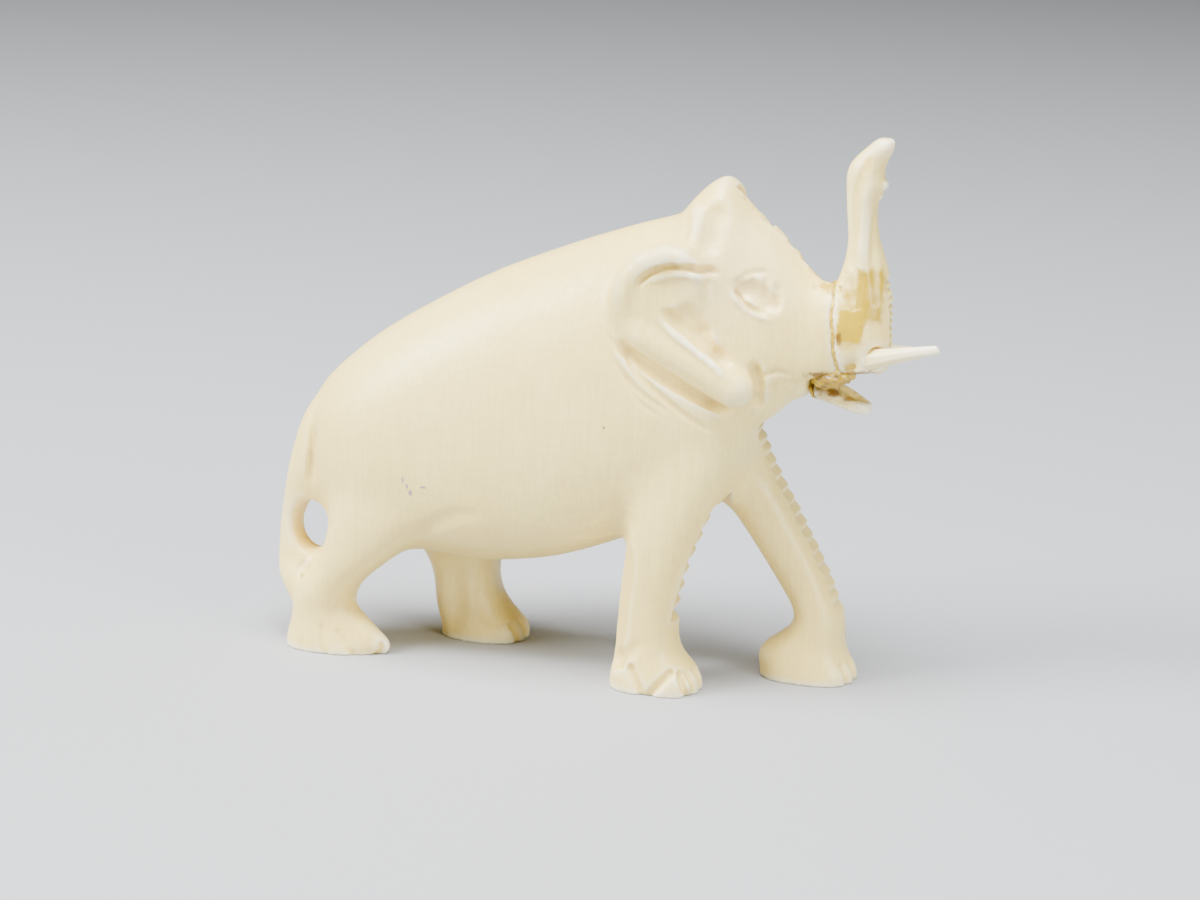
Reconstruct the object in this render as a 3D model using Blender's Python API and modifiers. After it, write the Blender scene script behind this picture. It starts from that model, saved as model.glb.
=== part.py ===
"""Small walking elephant with a raised trunk, carved from one pale block.

The trunk with the upper muzzle and the lower jaw are broken off the block and
glued back on, and the two tusks are turned pegs glued into drilled sockets.
Forward is +X, the elephant's left is +Y, up is +Z.
"""

from math import cos, pi, radians, sin

import bmesh
import bpy
from mathutils import Matrix, Vector

MM = 0.001

# Overall size of the carving without its tusks, and the size of the drawing that the outlines use.
LENGTH = 80.0
WIDTH = 22.0
HEIGHT = 64.0
DRAWN = Vector((80.0, 22.0, 64.0))

# Glued breaks: the thickness of the glue, and the clearance on each of its two faces.
GLUE_FILM = 0.30
GLUE_CLEARANCE = 0.06

# Break across the muzzle: its place on the drawing, and how far its top leans back.
MUZZLE_BREAK_X = 27.6
MUZZLE_BREAK_Z = 43.0
MUZZLE_BREAK_LEAN = radians(8.0)

# Break across the jaw, which is the back of the open mouth.
JAW_BREAK_X = 25.0
JAW_BREAK_Z = 36.0
JAW_BREAK_LEAN = radians(15.0)
MOUTH_ROOF_Z = 37.2
MOUTH_ROOF_LEAN = radians(94.0)
BREAK_DEPTH = 10.0

# Tusks: pegs turned with a tenon, each in a drilled socket filled up with glue.
# A tusk is fullest at its root, a little slimmer halfway, and blunt past its neck.
TUSK_RIGHT_ROOT = (31.0, -2.9, 39.6)
TUSK_RIGHT_HEADING = (8.9, -1.1, 2.3)
TUSK_RIGHT_LENGTH = 9.3
TUSK_RIGHT_ROOT_RADIUS = 1.25
TUSK_LEFT_ROOT = (30.9, 2.7, 39.2)
TUSK_LEFT_HEADING = (7.3, 0.1, 0.9)
TUSK_LEFT_LENGTH = 7.0
TUSK_LEFT_ROOT_RADIUS = 1.00
TUSK_MIDDLE = 0.5
TUSK_MIDDLE_SHARE = 0.82
TUSK_NECK = 0.9
TUSK_NECK_RADIUS = 0.575
TUSK_TIP_RADIUS = 0.40
TENON_SHOULDER = 0.38
TENON_LENGTH = 1.8
SOCKET_FLOOR_GAP = 0.2

# Hole between the tail and the right hind leg.
TAIL_HOLE_MIDDLE = (-33.7, -3.0, 14.0)
TAIL_HOLE_LENGTH = 4.4
TAIL_HOLE_HEIGHT = 6.4

# Ears: how far out their plates begin and end, and how round their edges are.
EAR_INNER_Y = 6.2
EAR_OUTER_Y = 9.7
EAR_EDGE_RADIUS = 0.9

# How square the sections are: an ellipse at 2, squarer above it.
TORSO_POWER = 2.35
HEAD_POWER = 2.6
TRUNK_POWER = 2.3
LEG_POWER = 3.0
TAIL_POWER = 2.4
JAW_POWER = 2.4

# Carving: cell and rounds of softening for the rough form, then for the finished one.
ROUGH_CELL = 0.6
ROUGH_ROUNDS = 26
FINE_CELL = 0.5
FINE_ROUNDS = 4
SOFTENING = 0.5
SHARE_OF_FACES = 0.072

IVORY = (0.86, 0.80, 0.66, 1.0)
TUSK_IVORY = (0.88, 0.83, 0.70, 1.0)
AMBER = (0.62, 0.36, 0.08, 1.0)
IVORY_ROUGHNESS = 0.42
TUSK_ROUGHNESS = 0.35
AMBER_ROUGHNESS = 0.25
SHARP_EDGE = radians(35.0)

RING_POINTS = 28
TURNED_STEPS = 24
STEPS_BETWEEN_STATIONS = 4
WELD = 0.00001
FAR = 60.0


def drawn(x, y, z):
    """A point of the drawing, stretched to the overall size."""
    return Vector((x * LENGTH / DRAWN.x, y * WIDTH / DRAWN.y, z * HEIGHT / DRAWN.z))


def between(p, q, r, s, t):
    """The value a share t of the way from q to r, on the smooth curve through p, q, r and s."""
    slope = r - p
    square = 2 * p - 5 * q + 4 * r - s
    cube = 3 * q - p - 3 * r + s
    return 0.5 * (2 * q + slope * t + square * t**2 + cube * t**3)


def through(rows, steps):
    """Rows of numbers on a smooth curve through the given rows."""
    ends = [rows[0], *rows, rows[-1]]
    found = []
    for a, b, c, d in zip(ends, ends[1:], ends[2:], ends[3:]):
        for step in range(steps):
            found.append([between(*four, step / steps) for four in zip(a, b, c, d)])
    found.append(list(rows[-1]))
    return found


def rounded(half_u, half_v, power):
    """Points of a rounded section: an ellipse at power 2, squarer above it."""
    points = []
    for index in range(RING_POINTS):
        angle = 2 * pi * index / RING_POINTS
        u, v = cos(angle), sin(angle)
        reach = (abs(u) ** power + abs(v) ** power) ** (-1 / power)
        points.append((half_u * u * reach, half_v * v * reach))
    return points


def new_object(name, mesh, collection):
    obj = bpy.data.objects.new(name, mesh)
    collection.objects.link(obj)
    return obj


def loft(name, rings, collection):
    """A closed skin over rings of points, with a flat cap at each end."""
    shape = bmesh.new()
    rows = [[shape.verts.new(point * MM) for point in ring] for ring in rings]
    for lower, upper in zip(rows, rows[1:]):
        for index in range(len(lower)):
            after = (index + 1) % len(lower)
            shape.faces.new((lower[index], lower[after], upper[after], upper[index]))
    shape.faces.new(rows[0])
    shape.faces.new(rows[-1])
    bmesh.ops.recalc_face_normals(shape, faces=shape.faces)
    mesh = bpy.data.meshes.new(name)
    shape.to_mesh(mesh)
    shape.free()
    return new_object(name, mesh, collection)


def upright_loft(name, stations, power, collection):
    """Level sections: (height, rear x, front x, right y, left y) each."""
    rings = []
    for z, rear, front, right, left in through(stations, STEPS_BETWEEN_STATIONS):
        middle_x, middle_y = (rear + front) / 2, (right + left) / 2
        section = rounded((front - rear) / 2, (left - right) / 2, power)
        rings.append([drawn(middle_x + u, middle_y + v, z) for u, v in section])
    return loft(name, rings, collection)


def lengthwise_loft(name, stations, power, collection):
    """Sections across the body: (x, bottom z, top z, half width, lean) each.

    Lean makes a section narrower at its top than at its bottom.
    """
    rings = []
    for x, bottom, top, half_width, lean in through(stations, STEPS_BETWEEN_STATIONS):
        section = rounded(half_width, (top - bottom) / 2, power)
        half_height = (top - bottom) / 2
        ring = []
        for y, z in section:
            ring.append(drawn(x, y * (1 - lean * z / half_height), (top + bottom) / 2 + z))
        rings.append(ring)
    return loft(name, rings, collection)


def plate(name, outline, inner_y, outer_y, edge, collection):
    """An upright plate cut to an outline of (x, z) points, with rounded edges."""
    curve = bpy.data.curves.new(name, "CURVE")
    curve.dimensions = "2D"
    curve.fill_mode = "BOTH"
    spline = curve.splines.new("POLY")
    spline.points.add(len(outline) - 1)
    for point, (x, z) in zip(spline.points, outline):
        place = drawn(x, 0, z) * MM
        point.co = (place.x, place.z, 0, 1)
    spline.use_cyclic_u = True
    half_thickness = abs(drawn(0, outer_y - inner_y, 0).y) / 2 * MM
    curve.bevel_depth = edge * MM
    curve.extrude = half_thickness - edge * MM
    curve.offset = -edge * MM
    curve.bevel_resolution = 2
    flat = new_object(name, curve, collection)
    graph = bpy.context.evaluated_depsgraph_get()
    mesh = bpy.data.meshes.new_from_object(flat.evaluated_get(graph))
    bpy.data.objects.remove(flat)
    middle = drawn(0, (inner_y + outer_y) / 2, 0) * MM
    mesh.transform(Matrix.Translation(middle) @ Matrix.Rotation(pi / 2, 4, "X"))
    welded = bmesh.new()
    welded.from_mesh(mesh)
    bmesh.ops.remove_doubles(welded, verts=welded.verts, dist=WELD)
    bmesh.ops.recalc_face_normals(welded, faces=welded.faces)
    welded.to_mesh(mesh)
    welded.free()
    return new_object(name, mesh, collection)


def torso(collection):
    stations = [
        (-35.8, 22.5, 25.5, 1.6, 0.00),
        (-35.0, 20.5, 28.2, 3.6, 0.00),
        (-33.4, 17.5, 31.2, 6.2, 0.03),
        (-30.2, 14.0, 34.4, 8.9, 0.05),
        (-26.0, 11.6, 37.8, 10.5, 0.07),
        (-20.0, 11.8, 41.6, 11.0, 0.08),
        (-13.0, 11.3, 45.5, 11.0, 0.09),
        (-5.0, 12.5, 49.0, 10.9, 0.10),
        (1.0, 14.6, 51.3, 10.7, 0.11),
        (6.0, 16.8, 53.0, 10.3, 0.12),
        (10.5, 18.5, 53.9, 9.8, 0.12),
        (14.0, 20.5, 50.0, 9.2, 0.10),
        (16.6, 23.0, 44.0, 7.8, 0.05),
        (18.3, 26.0, 39.0, 4.5, 0.00),
    ]
    return lengthwise_loft("torso", stations, TORSO_POWER, collection)


def head(collection):
    stations = [
        (6.5, 38.0, 49.0, 5.0, 0.10),
        (8.8, 35.5, 53.4, 7.2, 0.20),
        (10.6, 33.6, 56.0, 7.9, 0.28),
        (12.7, 32.0, 58.0, 8.1, 0.32),
        (14.3, 31.0, 58.6, 8.0, 0.33),
        (15.6, 30.4, 57.3, 7.8, 0.30),
        (17.6, 30.0, 54.8, 7.5, 0.26),
        (20.2, 31.4, 52.8, 6.9, 0.22),
        (22.6, 33.7, 50.3, 6.0, 0.16),
        (24.8, 34.7, 48.1, 5.3, 0.10),
        (27.0, 36.0, 47.4, 4.9, 0.05),
        (29.0, 36.6, 46.6, 4.7, 0.00),
        (31.4, 37.0, 44.0, 4.4, 0.00),
        (33.0, 37.8, 42.0, 3.4, 0.00),
    ]
    return lengthwise_loft("head", stations, HEAD_POWER, collection)


def raised_trunk(collection):
    stations = [
        (36.6, 29.0, 32.4, -3.8, 3.8),
        (38.2, 28.2, 33.2, -4.2, 4.2),
        (41.0, 27.6, 33.6, -4.3, 4.3),
        (44.0, 27.2, 33.6, -4.1, 4.1),
        (46.5, 27.1, 33.4, -3.8, 3.8),
        (48.4, 27.4, 32.9, -3.4, 3.4),
        (50.5, 28.0, 32.3, -3.0, 3.0),
        (53.0, 28.2, 31.5, -2.6, 2.6),
        (56.6, 27.8, 31.2, -2.3, 2.3),
        (58.6, 27.6, 32.0, -2.2, 2.2),
        (60.0, 27.6, 31.8, -2.1, 2.1),
        (61.4, 28.2, 32.1, -2.0, 2.0),
        (63.0, 29.8, 32.9, -1.7, 1.7),
        (64.0, 30.8, 33.0, -1.2, 1.2),
    ]
    return upright_loft("raised_trunk", stations, TRUNK_POWER, collection)


def right_hind_leg(collection):
    stations = [
        (-1.5, -36.2, -23.4, -10.3, -1.2),
        (0.6, -36.2, -23.8, -10.2, -1.2),
        (2.2, -35.8, -26.4, -9.8, -1.5),
        (3.6, -35.2, -28.0, -9.6, -1.6),
        (5.4, -35.2, -28.4, -9.6, -1.4),
        (7.6, -34.4, -27.4, -10.0, -1.2),
        (10.0, -32.4, -24.8, -10.2, -1.0),
        (13.5, -31.0, -20.8, -10.4, -0.5),
        (19.0, -30.4, -16.0, -10.4, -0.5),
        (26.0, -28.6, -17.0, -9.0, -1.0),
    ]
    return upright_loft("right_hind_leg", stations, LEG_POWER, collection)


def left_hind_leg(collection):
    stations = [
        (-1.5, -20.2, -9.2, 1.0, 10.3),
        (0.6, -20.4, -9.6, 1.0, 10.2),
        (2.2, -21.2, -11.0, 1.5, 9.8),
        (4.4, -21.7, -13.2, 1.6, 9.6),
        (7.0, -21.7, -14.2, 1.4, 9.6),
        (10.0, -22.8, -14.0, 1.0, 10.2),
        (13.5, -25.5, -12.0, 0.5, 10.4),
        (19.0, -27.0, -10.0, 0.5, 10.4),
        (26.0, -26.0, -12.0, 1.0, 9.0),
    ]
    return upright_loft("left_hind_leg", stations, LEG_POWER, collection)


def right_front_leg(collection):
    stations = [
        (-1.5, 3.8, 15.2, -10.3, -1.2),
        (0.8, 3.9, 15.0, -10.2, -1.2),
        (2.6, 4.3, 14.0, -9.8, -1.3),
        (4.2, 4.6, 12.0, -9.6, -1.5),
        (7.0, 4.7, 11.5, -9.5, -1.6),
        (12.0, 5.0, 12.5, -9.6, -1.4),
        (17.0, 5.6, 13.9, -9.9, -1.0),
        (22.0, 6.0, 15.7, -9.9, -0.6),
        (28.0, 5.0, 17.7, -9.3, -0.4),
        (33.0, 5.0, 17.4, -8.2, -0.6),
        (38.0, 6.5, 15.5, -6.4, -1.0),
    ]
    return upright_loft("right_front_leg", stations, LEG_POWER, collection)


def left_front_leg(collection):
    stations = [
        (-1.5, 19.8, 31.2, 0.6, 10.3),
        (0.6, 19.2, 30.7, 0.6, 10.2),
        (2.8, 18.0, 28.8, 1.0, 9.8),
        (4.6, 20.6, 28.4, 1.5, 9.5),
        (7.2, 22.9, 28.4, 1.6, 9.4),
        (11.0, 20.8, 27.0, 1.4, 9.6),
        (16.0, 17.4, 24.6, 1.0, 9.9),
        (21.0, 13.6, 21.8, 0.6, 9.9),
        (26.0, 9.0, 19.0, 0.4, 9.4),
        (32.0, 7.0, 17.2, 0.6, 8.4),
        (38.0, 7.5, 15.5, 1.0, 6.4),
    ]
    return upright_loft("left_front_leg", stations, LEG_POWER, collection)


def tail(collection):
    stations = [
        (4.5, -35.6, -31.0, -7.4, -2.8),
        (7.5, -37.8, -31.0, -7.0, -2.2),
        (10.0, -38.3, -30.6, -6.0, -1.6),
        (14.0, -38.3, -30.0, -5.6, -1.0),
        (18.0, -37.8, -30.0, -6.2, 1.4),
        (22.0, -37.1, -30.0, -6.6, 3.4),
        (27.0, -35.7, -29.5, -6.0, 4.4),
        (30.5, -33.4, -28.0, -4.8, 3.8),
    ]
    return upright_loft("tail", stations, TAIL_POWER, collection)


def ear(name, side, collection):
    outline = [
        (3.7, 43.2),
        (3.9, 46.8),
        (6.6, 50.4),
        (10.0, 51.4),
        (13.4, 50.2),
        (14.4, 45.0),
        (16.2, 40.0),
        (19.4, 36.6),
        (19.6, 35.0),
        (17.6, 34.8),
        (10.0, 38.6),
    ]
    smooth_outline = through([*outline, outline[0]], STEPS_BETWEEN_STATIONS)[:-1]
    return plate(name, smooth_outline, EAR_INNER_Y * side, EAR_OUTER_Y * side, EAR_EDGE_RADIUS, collection)


def lower_jaw(collection):
    stations = [
        (23.6, 34.6, 36.6, 2.8, 0.00),
        (25.6, 34.4, 36.5, 2.9, 0.00),
        (27.4, 33.9, 36.1, 2.7, 0.00),
        (29.2, 33.3, 35.4, 2.2, 0.00),
        (30.6, 32.9, 34.7, 1.6, 0.00),
        (31.6, 33.0, 34.2, 0.9, 0.00),
    ]
    return lengthwise_loft("lower_jaw", stations, JAW_POWER, collection)


def joined(name, pieces, collection):
    """The pieces as one mesh, whose closed bodies still overlap."""
    together = bmesh.new()
    for piece in pieces:
        together.from_mesh(piece.data)
        bpy.data.objects.remove(piece)
    mesh = bpy.data.meshes.new(name)
    together.to_mesh(mesh)
    together.free()
    return new_object(name, mesh, collection)


def applied(obj):
    """Turns the object's modifiers into its mesh."""
    graph = bpy.context.evaluated_depsgraph_get()
    mesh = bpy.data.meshes.new_from_object(obj.evaluated_get(graph))
    obj.modifiers.clear()
    obj.data = mesh


def fused(obj, cell, rounds):
    """Fuses the overlapping bodies and softens the carving between them."""
    cells = obj.modifiers.new("fuse", "REMESH")
    cells.mode = "VOXEL"
    cells.voxel_size = cell * MM
    soften = obj.modifiers.new("soften", "SMOOTH")
    soften.factor = SOFTENING
    soften.iterations = rounds
    applied(obj)
    return obj


def thinned(obj, share):
    """Thins the faces down to a share of them."""
    thin = obj.modifiers.new("thin", "DECIMATE")
    thin.ratio = share
    applied(obj)
    return obj


def cut(obj, cutter, operation):
    step = obj.modifiers.new(operation.lower(), "BOOLEAN")
    step.operation = operation
    step.object = cutter
    step.solver = "EXACT"
    applied(obj)
    return obj


def copied(obj, name, collection):
    return new_object(name, obj.data.copy(), collection)


def as_cutter(obj):
    obj.hide_render = True
    obj.display_type = "WIRE"
    return obj


def slab(name, point, lean, start, end, below, cutters):
    """A wide slab from start to end in front of a leaning plane through a point."""
    box = bmesh.new()
    bmesh.ops.create_cube(box, size=1.0)
    size = Vector((end - start, FAR, FAR + below)) * MM
    offset = Vector(((start + end) / 2, 0, (FAR - below) / 2)) * MM
    placed = Matrix.Translation(offset) @ Matrix.Diagonal((*size, 1.0))
    bmesh.ops.transform(box, matrix=placed, verts=box.verts)
    mesh = bpy.data.meshes.new(name)
    box.to_mesh(mesh)
    box.free()
    mesh.transform(Matrix.Translation(point * MM) @ Matrix.Rotation(-lean, 4, "Y"))
    return as_cutter(new_object(name, mesh, cutters))


def rough_carving(parts):
    """The whole elephant in one piece, as it was before the trunk broke off."""
    standing = joined(
        "standing",
        [
            torso(parts),
            right_hind_leg(parts),
            left_hind_leg(parts),
            right_front_leg(parts),
            left_front_leg(parts),
        ],
        parts,
    )
    fused(standing, ROUGH_CELL, ROUGH_ROUNDS)
    whole = joined(
        "body",
        [
            standing,
            head(parts),
            raised_trunk(parts),
            tail(parts),
            ear("right_ear", -1, parts),
            ear("left_ear", 1, parts),
        ],
        parts,
    )
    fused(whole, FINE_CELL, FINE_ROUNDS)
    return thinned(whole, SHARE_OF_FACES)


def ground(cutters):
    """Everything under the flat soles."""
    return slab("ground", Vector((0, 0, 0)), radians(-90.0), 0, FAR, FAR, cutters)


def tail_hole(cutters):
    """An oval drill across the web between the tail and the hind leg."""
    drill = bmesh.new()
    bmesh.ops.create_cone(drill, cap_ends=True, segments=TURNED_STEPS, radius1=0.5, radius2=0.5, depth=1.0)
    size = Matrix.Diagonal((*Vector((TAIL_HOLE_LENGTH, TAIL_HOLE_HEIGHT, WIDTH)) * MM, 1.0))
    turn = Matrix.Rotation(pi / 2, 4, "X")
    place = Matrix.Translation(drawn(*TAIL_HOLE_MIDDLE) * MM)
    bmesh.ops.transform(drill, matrix=place @ turn @ size, verts=drill.verts)
    mesh = bpy.data.meshes.new("tail_hole")
    drill.to_mesh(mesh)
    drill.free()
    return as_cutter(new_object("tail_hole", mesh, cutters))


def open_mouth(cutters):
    """The room between the jaw and the upper lip, back to the break of the jaw."""
    break_point = drawn(JAW_BREAK_X, 0, JAW_BREAK_Z)
    mouth = slab("open_mouth", break_point, JAW_BREAK_LEAN, 0, FAR, BREAK_DEPTH, cutters)
    roof_point = drawn(JAW_BREAK_X, 0, MOUTH_ROOF_Z)
    roof = slab("mouth_roof", roof_point, MOUTH_ROOF_LEAN, 0, FAR, FAR, cutters)
    return cut(mouth, roof, "DIFFERENCE")


def turned(name, profile, root, heading, parts):
    """A peg turned from a profile of (distance along, radius) points."""
    mesh = bpy.data.meshes.new(name)
    points = [(radius * MM, 0, along * MM) for along, radius in reversed(profile)]
    mesh.from_pydata(points, [(n, n + 1) for n in range(len(points) - 1)], [])
    peg = new_object(name, mesh, parts)
    spin = peg.modifiers.new("turn", "SCREW")
    spin.steps = TURNED_STEPS
    spin.render_steps = TURNED_STEPS
    spin.use_merge_vertices = True
    spin.merge_threshold = WELD
    applied(peg)
    turn = heading.to_track_quat("Z", "Y").to_matrix().to_4x4()
    peg.data.transform(Matrix.Translation(root * MM) @ turn)
    return peg


def tusk_set(name, root, heading, length, radius, trunk, parts, cutters):
    """A tusk, the socket drilled for it in the trunk piece, and the glue in the socket."""
    root = drawn(*root)
    heading = Vector(heading).normalized()
    tenon = radius - TENON_SHOULDER
    profile = [(-TENON_LENGTH, 0), (-TENON_LENGTH, tenon), (0, tenon), (0, radius)]
    profile.append((length * TUSK_MIDDLE, radius * TUSK_MIDDLE_SHARE))
    profile.append((length * TUSK_NECK, TUSK_NECK_RADIUS))
    profile += [(length, TUSK_TIP_RADIUS), (length, 0)]
    tusk = turned(name, profile, root, heading, parts)
    bore = radius + GLUE_CLEARANCE
    floor = -TENON_LENGTH - SOCKET_FLOOR_GAP
    drill = [(floor, 0), (floor, bore), (length, bore), (length, 0)]
    socket = turned(name + "_socket", drill, root, heading, cutters)
    cut(trunk, as_cutter(socket), "DIFFERENCE")
    inner, outer = tenon + GLUE_CLEARANCE, bore - GLUE_CLEARANCE
    back, front = -TENON_LENGTH, -GLUE_CLEARANCE
    ring = [(back, inner), (back, outer), (front, outer), (front, inner), (back, inner)]
    glue = turned(name + "_glue", ring, root, heading, parts)
    return tusk, glue


def painted(obj, name, colour, roughness):
    material = bpy.data.materials.get(name)
    if material is None:
        material = bpy.data.materials.new(name)
        material.use_nodes = True
        shader = material.node_tree.nodes["Principled BSDF"]
        shader.inputs["Base Color"].default_value = colour
        shader.inputs["Roughness"].default_value = roughness
        shader.inputs["Metallic"].default_value = 0.0
    obj.data.materials.clear()
    obj.data.materials.append(material)
    obj.data.shade_smooth()
    obj.data.set_sharp_from_angle(angle=SHARP_EDGE)


def stand_on_origin(pieces):
    """Moves the carving so that the middle of its box is over the origin."""
    corners = [vertex.co for piece in pieces for vertex in piece.data.vertices]
    low = Vector([min(corner[axis] for corner in corners) for axis in range(3)])
    high = Vector([max(corner[axis] for corner in corners) for axis in range(3)])
    shift = Vector((-(low.x + high.x) / 2, -(low.y + high.y) / 2, -low.z))
    for piece in pieces:
        piece.data.transform(Matrix.Translation(shift))


def clear_scene():
    for leftover in list(bpy.data.objects):
        bpy.data.objects.remove(leftover)


def new_collection(name):
    collection = bpy.data.collections.new(name)
    bpy.context.scene.collection.children.link(collection)
    return collection


def elephant():
    parts = new_collection("elephant")
    cutters = new_collection("cutters")
    cutters.hide_render = True

    body = rough_carving(parts)
    cut(body, ground(cutters), "DIFFERENCE")
    cut(body, tail_hole(cutters), "DIFFERENCE")
    mouth = open_mouth(cutters)
    cut(body, mouth, "DIFFERENCE")

    spacing = GLUE_FILM + 2 * GLUE_CLEARANCE
    film_end = GLUE_CLEARANCE + GLUE_FILM
    muzzle = drawn(MUZZLE_BREAK_X, 0, MUZZLE_BREAK_Z)
    front = slab("trunk_side", muzzle, MUZZLE_BREAK_LEAN, spacing, FAR, BREAK_DEPTH, cutters)
    film = slab("trunk_film", muzzle, MUZZLE_BREAK_LEAN, GLUE_CLEARANCE, film_end, BREAK_DEPTH, cutters)
    back = slab("body_side", muzzle, MUZZLE_BREAK_LEAN, 0, FAR, BREAK_DEPTH, cutters)
    trunk = cut(copied(body, "trunk", parts), front, "INTERSECT")
    trunk_glue = cut(copied(body, "trunk_glue", parts), film, "INTERSECT")
    cut(body, back, "DIFFERENCE")

    jaw_root = drawn(JAW_BREAK_X, 0, JAW_BREAK_Z)
    jaw = lower_jaw(parts)
    jaw_film = slab("jaw_film", jaw_root, JAW_BREAK_LEAN, GLUE_CLEARANCE, film_end, BREAK_DEPTH, cutters)
    jaw_side = slab("jaw_side", jaw_root, JAW_BREAK_LEAN, spacing, FAR, BREAK_DEPTH, cutters)
    jaw_glue = cut(copied(jaw, "jaw_glue", parts), jaw_film, "INTERSECT")
    cut(jaw, jaw_side, "INTERSECT")

    tusk_right, tusk_right_glue = tusk_set(
        "tusk_right",
        TUSK_RIGHT_ROOT,
        TUSK_RIGHT_HEADING,
        TUSK_RIGHT_LENGTH,
        TUSK_RIGHT_ROOT_RADIUS,
        trunk,
        parts,
        cutters,
    )
    tusk_left, tusk_left_glue = tusk_set(
        "tusk_left",
        TUSK_LEFT_ROOT,
        TUSK_LEFT_HEADING,
        TUSK_LEFT_LENGTH,
        TUSK_LEFT_ROOT_RADIUS,
        trunk,
        parts,
        cutters,
    )
    for piece in (body, trunk, jaw):
        painted(piece, "carved_ivory", IVORY, IVORY_ROUGHNESS)
    for piece in (tusk_right, tusk_left):
        painted(piece, "tusk_ivory", TUSK_IVORY, TUSK_ROUGHNESS)
    glue = [trunk_glue, jaw_glue, tusk_right_glue, tusk_left_glue]
    for piece in glue:
        painted(piece, "amber_glue", AMBER, AMBER_ROUGHNESS)
    stand_on_origin([body, trunk, jaw, tusk_right, tusk_left, *glue])


clear_scene()
elephant()
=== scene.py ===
"""Small walking elephant with a raised trunk, carved from ivory and mended with amber glue."""

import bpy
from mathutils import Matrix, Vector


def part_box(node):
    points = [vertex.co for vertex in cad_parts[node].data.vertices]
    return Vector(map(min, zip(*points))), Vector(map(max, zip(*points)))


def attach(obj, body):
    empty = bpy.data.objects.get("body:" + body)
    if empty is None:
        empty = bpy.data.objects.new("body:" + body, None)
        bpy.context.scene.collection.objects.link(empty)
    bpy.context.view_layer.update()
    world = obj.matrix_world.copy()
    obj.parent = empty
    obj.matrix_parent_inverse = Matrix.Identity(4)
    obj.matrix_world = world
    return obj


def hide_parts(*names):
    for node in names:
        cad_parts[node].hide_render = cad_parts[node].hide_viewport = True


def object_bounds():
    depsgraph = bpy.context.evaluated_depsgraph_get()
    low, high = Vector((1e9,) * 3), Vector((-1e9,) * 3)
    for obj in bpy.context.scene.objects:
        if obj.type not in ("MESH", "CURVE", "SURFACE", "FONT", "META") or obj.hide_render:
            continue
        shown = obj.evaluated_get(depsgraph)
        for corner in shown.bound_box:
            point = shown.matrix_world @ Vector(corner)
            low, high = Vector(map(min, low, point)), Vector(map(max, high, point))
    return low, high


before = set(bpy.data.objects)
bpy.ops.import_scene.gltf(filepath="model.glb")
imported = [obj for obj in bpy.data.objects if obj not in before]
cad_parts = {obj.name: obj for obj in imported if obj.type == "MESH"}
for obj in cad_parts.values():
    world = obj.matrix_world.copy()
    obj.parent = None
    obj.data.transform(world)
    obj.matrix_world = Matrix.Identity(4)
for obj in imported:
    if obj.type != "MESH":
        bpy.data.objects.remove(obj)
cad_box = [list(corner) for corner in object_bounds()]

from math import ceil, cos, pi, radians, sin

import bpy
import numpy as np
import openvdb
from mathutils import Matrix, Vector


# --------------------------------------------------
# The block. Body, muzzle and trunk were carved from one piece of ivory before the muzzle
# broke, so they are cut here as one solid, held as distances to its skin in millimetres.
# Gouges take ivory away along a path on the skin, and beads leave it standing proud.

MM = 0.001
BODY_CELL = 0.2
KNOWN_DEPTH = 2.0
BODY_SOFTNESS = 0.55
BODY_FACES = 190000
OUTSIDE = 16.0
FAR_OUTSIDE = 5 * OUTSIDE
SOLE_LAYER = 1.2
TUSK_ROOT_KEPT = 0.5
TUSK_ROOT_GROWTH = 0.1


def lower_of(a, b, soft):
    """The lower of two distances, blended where they are within a soft width."""
    near = np.maximum(soft - np.abs(a - b), 0) / soft
    return np.minimum(a, b) - near * near * soft / 4


def smooth_path(points, steps=6):
    """Points on a smooth curve through the given ones."""
    ends = np.array([points[0], *points, points[-1]], float)
    found = []
    for a, b, c, d in zip(ends, ends[1:], ends[2:], ends[3:]):
        for step in range(steps):
            t = step / steps
            square = (2 * a - 5 * b + 4 * c - d) * t**2
            cube = (3 * b - a - 3 * c + d) * t**3
            found.append(0.5 * (2 * b + (c - a) * t + square + cube))
    found.append(ends[-1])
    return np.array(found)


def bar_distance(places, path, radii):
    """Distance to a round bar along a path, whose radius changes on the way."""
    x, y, z = places
    nearest = None
    for a, b, start, end in zip(path, path[1:], radii, radii[1:]):
        span = b - a
        along = (x - a[0]) * span[0] + (y - a[1]) * span[1] + (z - a[2]) * span[2]
        along = np.clip(along / max(span @ span, 1e-9), 0, 1)
        gap = (x - a[0] - along * span[0]) ** 2
        gap = gap + (y - a[1] - along * span[1]) ** 2
        gap = gap + (z - a[2] - along * span[2]) ** 2
        distance = np.sqrt(gap) - (start + (end - start) * along)
        nearest = distance if nearest is None else np.minimum(nearest, distance)
    return nearest


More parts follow.
